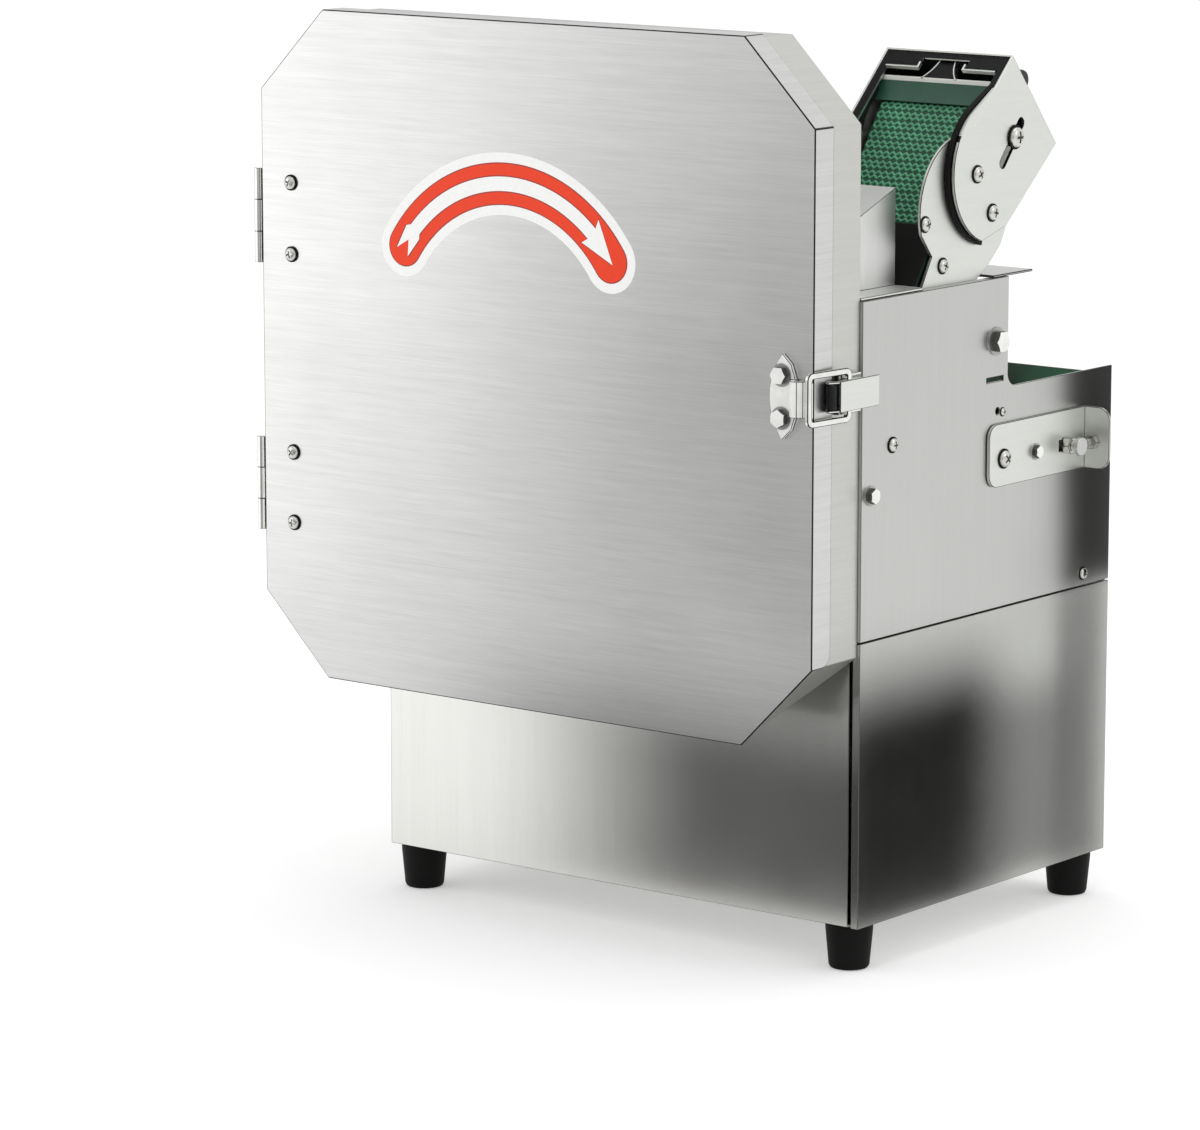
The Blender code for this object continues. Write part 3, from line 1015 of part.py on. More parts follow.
def build_hood(steel):
    """A folded hood over the throat: two walls, a rear wall and a roof that rises to the rear."""
    front = BODY_FRONT
    foot = PANEL_TOP + SEAT_GAP
    outline = [(front, foot), (HOOD_REAR, foot), (HOOD_REAR, HOOD_REAR_TOP), (front, HOOD_FRONT_TOP)]
    inner = [(front - SHEET, foot - SHEET), (HOOD_REAR - SHEET, foot - SHEET),
             (HOOD_REAR - SHEET, HOOD_REAR_TOP - 1.5 * SHEET), (front - SHEET, HOOD_FRONT_TOP - 1.6 * SHEET)]
    shell = prism("X", outline, HOOD_LEFT, HOOD_RIGHT)
    room = prism("X", inner, HOOD_LEFT + SHEET, HOOD_RIGHT - SHEET)
    hood = cut(shell, room)
    right_fold = box(HOOD_RIGHT - SHEET, BODY_RIGHT - SHEET, front, HOOD_REAR, foot, foot + SHEET)
    left_fold = box(CHANNEL_LEFT - SHEET, HOOD_LEFT + SHEET, front, HOOD_REAR, foot, foot + SHEET)
    piece("throat_hood", join(hood, right_fold, left_fold), steel)


def build_tension(steel, zinc):
    """The belt tension bracket on the right wall and the eye screw that pulls the tail roller's axle."""
    left = BODY_RIGHT + SEAT_GAP
    right = left + BRACKET_SHEET
    radius = BRACKET_RADIUS
    outline = arc((BRACKET_FRONT + radius, BRACKET_BOTTOM + radius), radius, 180, 270, 5)
    outline += [(BRACKET_REAR, BRACKET_BOTTOM), (BRACKET_REAR, BRACKET_TOP)]
    outline += arc((BRACKET_FRONT + radius, BRACKET_TOP - radius), radius, 90, 180, 5)
    leg = prism("X", outline, left, right)
    edge = right + BRACKET_FLANGE
    flange_outline = [(left, BRACKET_BOTTOM)]
    flange_outline += arc((edge - radius, BRACKET_BOTTOM + radius), radius, 270, 360, 5)
    flange_outline += arc((edge - radius, BRACKET_TOP - radius), radius, 0, 90, 5)
    flange_outline += [(left, BRACKET_TOP)]
    flange = prism("Y", flange_outline, BRACKET_REAR - BRACKET_SHEET, BRACKET_REAR)
    screws = [pan_head((BRACKET_SCREW_Y, CONVEYOR_Z), 5 * MM, 3.4 * MM, right, SHEET / 2),
              pan_head((BRACKET_BOLT_Y, CONVEYOR_Z), 3.6 * MM, 2.6 * MM, right, SHEET / 2)]
    bracket = join(leg, flange, *screws)
    travel = tension_slot(left - SHEET, right + SHEET)
    screw_hole = rod("Y", (TENSION_SCREW_X, CONVEYOR_Z), TENSION_SCREW_RADIUS + RUN_GAP,
                     BRACKET_REAR - 2 * BRACKET_SHEET, BRACKET_REAR + SHEET, SMALL_SEGMENTS)
    piece("tension_bracket", cut(bracket, travel, screw_hole), steel)

    centre = (TENSION_SCREW_X, CONVEYOR_Z)
    head_front = BRACKET_REAR + SEAT_GAP
    stud = rod("Y", centre, TENSION_SCREW_RADIUS, CONVEYOR_REAR_Y + TENSION_EYE_RADIUS / 2,
               head_front + 1 * MM, SMALL_SEGMENTS)
    head = hexagon("Y", centre, 8 * MM, head_front, head_front + 5 * MM)
    nut = hexagon("Y", centre, 8 * MM, BRACKET_REAR - BRACKET_SHEET - SEAT_GAP - 4 * MM,
                  BRACKET_REAR - BRACKET_SHEET - SEAT_GAP)
    axle = (CONVEYOR_REAR_Y, CONVEYOR_Z)
    eye = rod("X", axle, TENSION_EYE_RADIUS, right + SEAT_GAP, TENSION_EYE_RIGHT)
    bore = rod("X", axle, AXLE_RADIUS + RUN_GAP, right - SHEET, TENSION_EYE_RIGHT + SHEET, SMALL_SEGMENTS)
    piece("tension_screw", cut(join(stud, head, nut, eye), bore), zinc)


def build_controls(plastic, green_paint, red_paint, zinc):
    """Start and stop buttons and the belt speed knob in a plate on the left wall."""
    wall = BODY_LEFT - SEAT_GAP
    face = wall - 1.5 * MM
    half = CONTROL_PLATE_HEIGHT / 2
    plate = box(face, wall, START_Y - 24 * MM, KNOB_Y + 26 * MM, CONTROL_Z - half, CONTROL_Z + half)
    rings = [rod("X", (y, CONTROL_Z), BUTTON_RADIUS + 4 * MM, face - 4 * MM, wall - SEAT_GAP)
             for y in (START_Y, STOP_Y)]
    plate = join(plate, *rings)
    holes = [rod("X", (y, CONTROL_Z), BUTTON_RADIUS + RUN_GAP, face - 6 * MM, wall + SHEET)
             for y in (START_Y, STOP_Y)]
    stem_hole = KNOB_STEM_RADIUS + 2 * RUN_GAP
    holes.append(rod("X", (KNOB_Y, CONTROL_Z), stem_hole, face - SHEET, wall + SHEET, SMALL_SEGMENTS))
    piece("control_plate", cut(plate, *holes), plastic)

    inside = BODY_LEFT + SHEET + SEAT_GAP
    block = box(inside, inside + 26 * MM, START_Y - 16 * MM, KNOB_Y + 16 * MM, CONTROL_Z - 16 * MM,
                CONTROL_Z + 16 * MM)
    wells = [rod("X", (y, CONTROL_Z), BUTTON_RADIUS + RUN_GAP, inside - SHEET, inside + 12 * MM)
             for y in (START_Y, STOP_Y)]
    wells.append(rod("X", (KNOB_Y, CONTROL_Z), stem_hole, inside - SHEET, inside + 12 * MM, SMALL_SEGMENTS))
    piece("switch_block", cut(block, *wells), plastic)

    for name, y, paint in (("start_button", START_Y, green_paint), ("stop_button", STOP_Y, red_paint)):
        cap_left = face - 4 * MM - BUTTON_TRAVEL - 1.5 * MM
        profile = [(BUTTON_RADIUS - 1 * MM, cap_left), (BUTTON_RADIUS, cap_left + 1 * MM),
                   (BUTTON_RADIUS, inside + 12 * MM - BUTTON_TRAVEL - 1 * MM)]
        piece(name, turned("X", (y, CONTROL_Z), profile), paint, (cap_left, y, CONTROL_Z))

    knob_right = face - SEAT_GAP
    knob_left = knob_right - 14 * MM
    knob_profile = [(KNOB_RADIUS - 2 * MM, knob_left), (KNOB_RADIUS - 1 * MM, knob_left + 1 * MM),
                    (KNOB_RADIUS, knob_right - 2 * MM), (KNOB_RADIUS, knob_right),
                    (KNOB_STEM_RADIUS, knob_right), (KNOB_STEM_RADIUS, inside + 10 * MM)]
    knob = turned("X", (KNOB_Y, CONTROL_Z), knob_profile)
    pointer = box(knob_left - 1 * MM, knob_right - 1 * MM, KNOB_Y - 1.5 * MM, KNOB_Y + 1.5 * MM,
                  CONTROL_Z, CONTROL_Z + KNOB_RADIUS + 1.5 * MM)
    piece("speed_knob", join(knob, pointer), plastic, (knob_right, KNOB_Y, CONTROL_Z))


def build_gland(plastic):
    """The cable gland on the rear wall. Its bore is open to take the supply cable."""
    centre = (GLAND_X, GLAND_Z)
    front = BODY_REAR + SEAT_GAP
    rear = front + GLAND_LENGTH
    gland = turned("Y", centre, [(GLAND_RADIUS, front), (GLAND_RADIUS, front + 9 * MM),
                                 (GLAND_RADIUS * 0.8, rear)], 24)
    nut = hexagon("Y", centre, GLAND_RADIUS * 2.3, front, front + 5 * MM)
    bore = rod("Y", centre, GLAND_RADIUS * 0.42, front - SHEET, rear + SHEET, SMALL_SEGMENTS)
    piece("cable_gland", cut(join(gland, nut), bore), plastic)


def main():
    clear_scene()
    origin = bpy.data.objects.new("machine_origin", None)
    origin.location = -CENTRE
    bpy.context.scene.collection.objects.link(origin)

    steel = make_material("brushed_stainless", (0.62, 0.62, 0.61), 0.35, 1)
    dark_steel = make_material("folded_stainless", (0.42, 0.42, 0.42), 0.4, 1)
    blade_steel = make_material("ground_knife_steel", (0.72, 0.73, 0.75), 0.2, 1)
    zinc = make_material("polished_hardware", (0.7, 0.7, 0.69), 0.22, 1)
    green = make_material("green_rough_top_belt", (0.06, 0.3, 0.17), 0.85, 0)
    rubber = make_material("black_rubber", (0.015, 0.015, 0.016), 0.8, 0)
    plastic = make_material("black_plastic", (0.02, 0.02, 0.022), 0.45, 0)
    white = make_material("white_plastic", (0.8, 0.8, 0.78), 0.4, 0)
    motor_paint = make_material("motor_paint", (0.08, 0.1, 0.12), 0.5, 0)
    green_paint = make_material("green_button", (0.02, 0.35, 0.08), 0.35, 0)
    red_paint = make_material("red_button", (0.6, 0.02, 0.02), 0.35, 0)

    build_door(steel, zinc)
    for label, middle in zip(("lower", "upper"), HINGE_MIDDLES):
        build_body_leaf(label, middle, zinc)
    build_latch(zinc)
    build_chamber(steel)
    build_body(steel, dark_steel)
    build_feet(rubber)
    build_knife(steel, blade_steel, zinc)
    build_knife_drive(motor_paint, zinc, rubber)
    build_conveyors(green, steel, zinc, motor_paint)
    build_press_head(steel, zinc, white)
    build_hood(steel)
    build_tension(steel, zinc)
    build_controls(plastic, green_paint, red_paint, zinc)
    build_gland(plastic)


main()
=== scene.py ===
"""The looks of a counter-top food slicer in brushed stainless steel.

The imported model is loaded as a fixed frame. Each sub-assembly is a class that softens the edges of
its sheets, adds what the frame leaves plain, and gives every piece its finish. Places are written in
millimetres from the door's lower left front corner: X to the right, Y to the back, Z up.
"""

import json
import logging
import math
from dataclasses import dataclass, field
from enum import Enum
from functools import partial

import bmesh
import bpy
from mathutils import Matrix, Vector

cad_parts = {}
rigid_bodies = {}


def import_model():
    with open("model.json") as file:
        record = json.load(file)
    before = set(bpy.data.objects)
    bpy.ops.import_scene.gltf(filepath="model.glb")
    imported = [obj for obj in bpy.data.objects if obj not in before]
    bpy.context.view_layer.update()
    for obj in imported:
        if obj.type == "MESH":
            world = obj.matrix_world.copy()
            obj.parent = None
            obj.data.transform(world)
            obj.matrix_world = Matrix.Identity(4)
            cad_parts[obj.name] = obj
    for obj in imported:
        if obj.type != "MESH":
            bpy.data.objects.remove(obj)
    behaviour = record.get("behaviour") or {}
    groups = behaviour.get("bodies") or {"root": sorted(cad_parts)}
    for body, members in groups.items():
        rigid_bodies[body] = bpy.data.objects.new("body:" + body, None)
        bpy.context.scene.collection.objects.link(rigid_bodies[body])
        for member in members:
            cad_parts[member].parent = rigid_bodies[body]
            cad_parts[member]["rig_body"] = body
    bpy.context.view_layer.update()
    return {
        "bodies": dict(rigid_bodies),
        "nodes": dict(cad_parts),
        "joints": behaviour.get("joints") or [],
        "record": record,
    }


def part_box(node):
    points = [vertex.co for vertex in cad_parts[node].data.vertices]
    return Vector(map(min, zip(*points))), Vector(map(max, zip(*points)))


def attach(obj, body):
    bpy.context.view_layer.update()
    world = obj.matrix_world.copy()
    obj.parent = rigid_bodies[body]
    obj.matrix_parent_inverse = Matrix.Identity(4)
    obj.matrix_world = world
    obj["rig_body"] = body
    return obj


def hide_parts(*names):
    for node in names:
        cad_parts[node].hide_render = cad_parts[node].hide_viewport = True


MM = 0.001
# Corners nearer to each other than this, in metres, are one corner.
WELD = 1e-6
# Edges shorter than this, in millimetres, are merged away, because a rounding would fold over them.
SHORT_EDGE = 0.12
# Edges sharper than this, in degrees, get a rounding.
ROUNDED_FROM = 40.0
# The turn of slats that stand square to the rays which the right wall mirrors to the camera.
ACROSS_VIEW = math.radians(51.8)
WHITE = (1.0, 1.0, 1.0, 1.0)
LOG = logging.getLogger("slicer")

Point = tuple[float, float]
Place = tuple[float, float, float]


class Grain(Enum):
    """The axes across which a sheet's brushed lines are spaced."""

    LEVEL = (0, 0, 1)
    UPRIGHT = (1, 1, 0)
    ALONG = (1, 0, 1)


def linear(colour: str, gain: float = 1.0) -> tuple[float, float, float, float]:
    """Turns an sRGB hex colour into the linear colour that Blender's sockets take.

    Args:
        colour: The colour as "#RRGGBB".
        gain: A factor on the linear values.

    Returns:
        Red, green, blue and alpha.
    """
    channels = [int(colour[start:start + 2], 16) / 255 for start in (1, 3, 5)]
    values = [c / 12.92 if c <= 0.04045 else ((c + 0.055) / 1.055) ** 2.4 for c in channels]
    return (*(min(1.0, value * gain) for value in values), 1.0)


def add_node(tree: bpy.types.NodeTree, kind: str, inputs: dict | None = None, **settings) -> bpy.types.Node:
    """Adds a node, sets its fields, and fills or links its inputs.

    Args:
        tree: The tree that gets the node.
        kind: The node's type name.
        inputs: Values or output sockets by input name or number. A list of sockets goes into one input
            that takes several links.
        **settings: Fields of the node itself.

    Returns:
        The new node.
    """
    node = tree.nodes.new(kind)
    for name, value in settings.items():
        setattr(node, name, value)
    for key, value in (inputs or {}).items():
        sockets = value if isinstance(value, list) else [value]
        if isinstance(sockets[0], bpy.types.NodeSocket):
            for socket in sockets:
                tree.links.new(socket, node.inputs[key])
        else:
            node.inputs[key].default_value = value
    return node


def sum_of(tree: bpy.types.NodeTree, operation: str, first, second=0.0) -> bpy.types.NodeSocket:
    """Adds one sum of values or sockets and gives its result."""
    return add_node(tree, "ShaderNodeMath", {0: first, 1: second}, operation=operation).outputs[0]


def vector_of(tree: bpy.types.NodeTree, x=0.0, y=0.0, z=0.0) -> bpy.types.NodeSocket:
    """Puts three values or sockets together as a vector."""
    return add_node(tree, "ShaderNodeCombineXYZ", {0: x, 1: y, 2: z}).outputs[0]


def emptied(owner: bpy.types.Material | bpy.types.World) -> bpy.types.NodeTree:
    """Gives the node tree of a material or a world, with nothing in it."""
    owner.use_nodes = True
    owner.node_tree.nodes.clear()
    return owner.node_tree


def linked(name: str, data: bpy.types.ID) -> bpy.types.Object:
    """Puts a mesh, lamp or camera into the scene as an object."""
    thing = bpy.data.objects.new(name, data)
    bpy.context.scene.collection.objects.link(thing)
    return thing


def mesh_of(name: str, shape: bmesh.types.BMesh) -> bpy.types.Mesh:
    """Turns a bmesh into a mesh and frees it."""
    mesh = bpy.data.meshes.new(name)
    shape.to_mesh(mesh)
    shape.free()
    return mesh


def smooth(mesh: bpy.types.Mesh, sharp: float) -> None:
    """Shades a mesh smooth, apart from edges over an angle in degrees."""
    mesh.shade_smooth()
    mesh.set_sharp_from_angle(angle=math.radians(sharp))


@dataclass(frozen=True)
class Finish:
    """A surface finish: what the piece is made of and how its surface was made."""

    name: str
    colour: str
    roughness: float
    metallic: float = 0.0
    specular: float = 0.5

    def material(self) -> bpy.types.Material:
        """Makes the material with its shader, and lets the finish add its own pattern.

        Returns:
            The finished material.
        """
        material = bpy.data.materials.new(self.name)
        material.use_nodes = True
        tree = material.node_tree
        shader = tree.nodes["Principled BSDF"]
        shader.inputs["Base Color"].default_value = linear(self.colour)
        shader.inputs["Roughness"].default_value = self.roughness
        shader.inputs["Metallic"].default_value = self.metallic
        shader.inputs["Specular IOR Level"].default_value = self.specular
        self.pattern(tree, shader)
        return material

    def pattern(self, tree: bpy.types.NodeTree, shader: bpy.types.Node) -> None:
        """Adds the finish's own pattern to its shader."""

    def noise(self, tree: bpy.types.NodeTree, spacing: Place, detail: float = 2.0,
              roughness: float = 0.5) -> bpy.types.NodeSocket:
        """Adds a noise on Object coordinates.

        Args:
            tree: The material's tree.
            spacing: The pattern's size along X, Y and Z, in millimetres.
            detail: How many finer layers the noise has.
            roughness: How strong the finer layers are.

        Returns:
            The noise's value.
        """
        place = add_node(tree, "ShaderNodeTexCoord")
        scale = tuple(1 / (size * MM) for size in spacing)
        mapping = add_node(tree, "ShaderNodeMapping", {"Vector": place.outputs["Object"], "Scale": scale})
        noise = add_node(tree, "ShaderNodeTexNoise", {"Vector": mapping.outputs["Vector"], "Scale": 1.0,
                                                      "Detail": detail, "Roughness": roughness})
        return noise.outputs["Fac"]

    def shade(self, tree: bpy.types.NodeTree, shader: bpy.types.Node, value: bpy.types.NodeSocket,
              change: float) -> None:
        """Varies the base colour with a value, darker where it is low.

        Args:
            tree: The material's tree.
            shader: The Principled shader.
            value: The value that steers the colour.
            change: How far the colour moves each way, as a share.
        """
        ramp = add_node(tree, "ShaderNodeValToRGB", {"Fac": value})
        for end, place, side in zip(ramp.color_ramp.elements, (0.3, 0.7), (-1, 1)):
            end.position = place
            end.color = linear(self.colour, 1 + side * change)
        tree.links.new(ramp.outputs["Color"], shader.inputs["Base Color"])

    def spread(self, tree: bpy.types.NodeTree, shader: bpy.types.Node, value: bpy.types.NodeSocket,
               change: float) -> None:
        """Varies the roughness with a value.

        Args:
            tree: The material's tree.
            shader: The Principled shader.
            value: The value that steers the roughness.
            change: How far the roughness moves each way.
        """
        span = add_node(tree, "ShaderNodeMapRange", {"Value": value, "From Min": 0.25, "From Max": 0.75,
                                                     "To Min": self.roughness - change,
                                                     "To Max": self.roughness + change})
        tree.links.new(span.outputs["Result"], shader.inputs["Roughness"])

    def relief(self, tree: bpy.types.NodeTree, shader: bpy.types.Node, height: bpy.types.NodeSocket,
               depth_mm: float) -> None:
        """Adds a bump of a real depth.

        Args:
            tree: The material's tree.
            shader: The Principled shader.
            height: The height from 0 to 1.
            depth_mm: The depth that a height of 1 stands for.
        """
        bump = add_node(tree, "ShaderNodeBump", {"Height": height, "Strength": 1.0,
                                                 "Distance": depth_mm * MM})
        tree.links.new(bump.outputs["Normal"], shader.inputs["Normal"])


@dataclass(frozen=True)
class BrushedSteel(Finish):
    """Stainless sheet brushed with a belt: fine parallel lines that blur what it mirrors.

    Real lines are about 0.1 mm apart. They are drawn wider, because finer ones don't show.
    """

    metallic: float = 1.0
    grain: Grain = Grain.LEVEL
    line_mm: float = 0.85
    length_mm: float = 38.0
    contrast: float = 0.07
    depth_mm: float = 0.004
    cloud_mm: float = 90.0
    cloud_change: float = 0.035

    def pattern(self, tree: bpy.types.NodeTree, shader: bpy.types.Node) -> None:
        """Adds the lines, their uneven gloss and a faint cloudiness of the rolled sheet."""
        spacing = tuple(self.line_mm if across else self.length_mm for across in self.grain.value)
        lines = self.noise(tree, spacing, 3.0, 0.65)
        wide = self.noise(tree, tuple(size * 3.5 for size in spacing), 1.0)
        both = add_node(tree, "ShaderNodeMix", {0: 0.3, 2: lines, 3: wide}, data_type="FLOAT")
        self.shade(tree, shader, both.outputs[0], self.contrast)
        self.spread(tree, shader, self.noise(tree, (self.cloud_mm,) * 3), self.cloud_change)
        self.relief(tree, shader, lines, self.depth_mm)


@dataclass(frozen=True)
class TurnedSteel(Finish):
    """Steel turned on a lathe: fine rings round its axis."""

    metallic: float = 1.0
    centre: Place = (0.0, 0.0, 0.0)
    axis: int = 1
    ring_mm: float = 1.1
    rim_rings: float = 1.37

    def pattern(self, tree: bpy.types.NodeTree, shader: bpy.types.Node) -> None:
        """Adds rings by the distance from the axis, and along it on the rim."""
        place = add_node(tree, "ShaderNodeTexCoord")
        away = add_node(tree, "ShaderNodeVectorMath", {0: place.outputs["Object"], 1: self.centre},
                        operation="SUBTRACT")
        flat = tuple(0.0 if number == self.axis else 1.0 for number in range(3))
        across = add_node(tree, "ShaderNodeVectorMath", {0: away.outputs[0], 1: flat}, operation="MULTIPLY")
        radius = add_node(tree, "ShaderNodeVectorMath", {0: across.outputs[0]}, operation="LENGTH")
        parts = add_node(tree, "ShaderNodeSeparateXYZ", {"Vector": away.outputs[0]})
        along = sum_of(tree, "MULTIPLY", parts.outputs[self.axis], self.rim_rings)
        total = sum_of(tree, "ADD", radius.outputs["Value"], along)
        rings = add_node(tree, "ShaderNodeTexNoise", {"W": total, "Scale": 1 / (self.ring_mm * MM),
                                                      "Detail": 2.0}, noise_dimensions="1D").outputs["Fac"]
        self.shade(tree, shader, rings, change=0.08)
        self.spread(tree, shader, rings, change=0.05)
        self.relief(tree, shader, rings, depth_mm=0.004)


@dataclass(frozen=True)
class PlatedSteel(Finish):
    """Pressed steel with a bright plating: glossy, a little uneven from the press and from handling."""

    metallic: float = 1.0

    def pattern(self, tree: bpy.types.NodeTree, shader: bpy.types.Node) -> None:
        """Adds shallow waves from the press and small matt specks."""
        waves = self.noise(tree, (7.0, 7.0, 7.0))
        specks = self.noise(tree, (0.8, 0.8, 0.8), 2.0, 0.7)
        self.shade(tree, shader, waves, change=0.06)
        self.spread(tree, shader, specks, change=0.045)
        self.relief(tree, shader, waves, depth_mm=0.03)


@dataclass(frozen=True)
class Moulded(Finish):
    """Moulded plastic or rubber: an even grain pressed into it by the mould."""

    grain_mm: float = 0.8
    depth_mm: float = 0.02
    contrast: float = 0.12

    def pattern(self, tree: bpy.types.NodeTree, shader: bpy.types.Node) -> None:
        """Adds the mould's grain and slow changes of tone."""
        grain = self.noise(tree, (self.grain_mm,) * 3, 3.0, 0.6)
        tone = self.noise(tree, (14.0, 14.0, 14.0))
        self.shade(tree, shader, tone, self.contrast)
        self.spread(tree, shader, grain, change=0.06)
        self.relief(tree, shader, grain, self.depth_mm)


@dataclass(frozen=True)
class PaintedCasting(Finish):
    """Enamel on a cast housing: orange peel over the sand's coarser form."""

    def pattern(self, tree: bpy.types.NodeTree, shader: bpy.types.Node) -> None:
        """Adds orange peel over the casting's waves."""
        peel = self.noise(tree, (1.6, 1.6, 1.6))
        waves = self.noise(tree, (11.0, 11.0, 11.0))
        self.shade(tree, shader, waves, change=0.15)
        self.spread(tree, shader, peel, change=0.07)
        self.relief(tree, shader, peel, depth_mm=0.05)


@dataclass(frozen=True)
class PrintedFilm(Finish):
    """Self-adhesive vinyl with solid print: a soft gloss and a faint leather of the film."""

    def pattern(self, tree: bpy.types.NodeTree, shader: bpy.types.Node) -> None:
        """Adds the film's fine unevenness."""
        film = self.noise(tree, (2.2, 2.2, 2.2))
        self.shade(tree, shader, film, change=0.03)
        self.spread(tree, shader, film, change=0.05)
        self.relief(tree, shader, film, depth_mm=0.01)


# Sheet edges cut on a guillotine are torn and dull, so that a grey line runs round each sheet. The darker
# rounding lies on every sharp edge, bends as well as cuts, as painted shade: a dark outline along each edge.
CUT_EDGE = PlatedSteel("sheared_steel_edge", "#6C6C69", 0.5)
# Belt-brushed level before bending: long soft streaks over a blurred mirror of the room.
DOOR_STEEL = BrushedSteel("brushed_stainless_door", "#CBCBCA", 0.34, contrast=0.085)
# Brushed upright and folded: an even satin grey with hardly a line in it.
WALL_STEEL = BrushedSteel("brushed_stainless_wall", "#BEBFBC", 0.33, grain=Grain.UPRIGHT, line_mm=1.2,
                          length_mm=60.0, contrast=0.025, depth_mm=0.002)
# As the walls, with a coarser belt: paler, and blurred until it mirrors only light and dark.
HOOD_STEEL = BrushedSteel("brushed_stainless_hood", "#D9DAD7", 0.42, grain=Grain.UPRIGHT, line_mm=1.2,
                          length_mm=60.0, contrast=0.025, depth_mm=0.002)
# Cold-rolled and left as it came: nearly a mirror, in which dark things stand with soft borders.
FRONT_STEEL = BrushedSteel("rolled_stainless_front", "#E0E0DC", 0.22, grain=Grain.UPRIGHT, line_mm=1.6,
                           length_mm=90.0, contrast=0.03, depth_mm=0.0015)
# The lower shell: the same rolled stainless in a darker grey, which is painted shade for the darker mirror
# of its walls.
SHELL_STEEL = BrushedSteel("rolled_stainless_shell", "#B4B5B1", 0.2, grain=Grain.UPRIGHT, line_mm=1.6,
                           length_mm=90.0, contrast=0.03, depth_mm=0.0015)
# Laser-cut plate rubbed to a satin: pale, nearly white in a bright room, with short faint lines.
PLATE_STEEL = BrushedSteel("satin_stainless_plate", "#D6D8D3", 0.38, grain=Grain.ALONG, line_mm=0.9,
                           length_mm=20.0, contrast=0.03, depth_mm=0.002)
# Pickled after welding: matt and a little cloudy.
INNER_STEEL = BrushedSteel("pickled_stainless_inner", "#C4C4C0", 0.42, grain=Grain.LEVEL, contrast=0.05)
# Nickel over a pressing: bright, with the press's waves in what it mirrors.
BRIGHT_STEEL = PlatedSteel("nickel_plated_steel", "#E2E2DE", 0.16)
# Bright zinc on cold-headed screws: a glossy light grey.
SCREW_STEEL = PlatedSteel("bright_zinc_steel", "#C9C9C4", 0.22)
# Zinc passivated to a milky film: nearly white, with little mirror left.
WHITE_ZINC = PlatedSteel("passivated_white_zinc", "#F4F4F1", 0.4, metallic=0.3)
# Black oxide with oil: nearly black, so that an edge reads as a drawn line. On the roundings of door,
# hinges, latch, bail, cheeks, head frame and guard plate that line is painted shade, where the gaps' shadow
# falls; it also makes the head frame's slanted front, its bell bracket and the lever's sleeve nearly black.
BLACKED_STEEL = PlatedSteel("blacked_steel", "#2A2A2B", 0.36)
# Machined and left bare: a mid grey with a soft sheen.
BARE_STEEL = PlatedSteel("machined_steel", "#A9A9A6", 0.36)
# A bolt head's flanks as they were forged, and painted darker than its turned face as shade, which sets the
# hexagon off.
FORGED_STEEL = PlatedSteel("forged_steel_flank", "#5E5E5C", 0.4)
# Ground across the edge: the brightest metal, with fine short lines.
BLADE_STEEL = BrushedSteel("ground_blade_steel", "#DCDEE0", 0.18, grain=Grain.LEVEL, line_mm=0.6,
                           length_mm=12.0, contrast=0.05)
# Pressed in a matt mould: deep black without a highlight. It also stands as painted shade: the rings round
# the pan heads, the spacer in the gap by the lobe and the curtain at the belt's foot.
BLACK_RUBBER = Moulded("moulded_nitrile_rubber", "#0C0B0A", 0.6, specular=0.14)
# Injected against a fine-grained mould: black with a soft grey highlight. As the head's liners it is painted
# shade inside the head.
BLACK_PLASTIC = Moulded("moulded_black_abs", "#1C1C1E", 0.42, specular=0.35, grain_mm=0.6,
                        depth_mm=0.01)
# Planed bar: white and waxy.
WHITE_PLASTIC = Moulded("white_polyethylene", "#E9E9E4", 0.4, grain_mm=1.5, contrast=0.03)
# Calendered belt cloth: dark green and dull. Its pressed tread is a paler green.
BELT_BASE = Moulded("green_pvc_belt_base", "#1E4A36", 0.7, grain_mm=1.0, contrast=0.2)
BELT_TOP = Moulded("green_pvc_belt_tread", "#559E78", 0.6, grain_mm=0.9, contrast=0.18, depth_mm=0.04)
# Smooth calendered sheet of the same green: a broad soft highlight.
APRON_GREEN = Moulded("green_pvc_apron", "#24503F", 0.5, grain_mm=1.4, contrast=0.1)
# Sprayed over a sand casting: a lumpy grey gloss.
MOTOR_PAINT = PaintedCasting("enamelled_motor_casting", "#4E565C", 0.42)
# Injected in a polished mould: a clear colour with a small highlight.
GREEN_BUTTON = Moulded("green_push_cap", "#1E9A49", 0.3, contrast=0.05)
RED_BUTTON = Moulded("red_push_cap", "#C8201C", 0.3, contrast=0.05)
# Screen print on vinyl: flat solid colours, and a darker line where two inks overlap.
LABEL_WHITE = PrintedFilm("white_vinyl_film", "#FBFBF9", 0.42)
LABEL_RED = PrintedFilm("red_printed_film", "#F2421E", 0.42, specular=0.25)
LABEL_EDGE = PrintedFilm("dark_red_print_line", "#9E2F26", 0.45)


def arc(centre: Point, radius: float, start: float, end: float, steps: int) -> list[Point]:
    """Gives points on an arc, both ends included.

    Args:
        centre: The arc's centre.
        radius: Its radius.
        start: The first point's direction, in degrees.
        end: The last point's direction, in degrees.
        steps: The number of chords.

    Returns:
        The points in order.
    """
    turns = [math.radians(start + (end - start) * step / steps) for step in range(steps + 1)]
    return [(centre[0] + radius * math.cos(turn), centre[1] + radius * math.sin(turn)) for turn in turns]


class HeadKind(Enum):
    """The kinds of fastener head on the machine."""

    PAN = "pan"
    HEX = "hex"


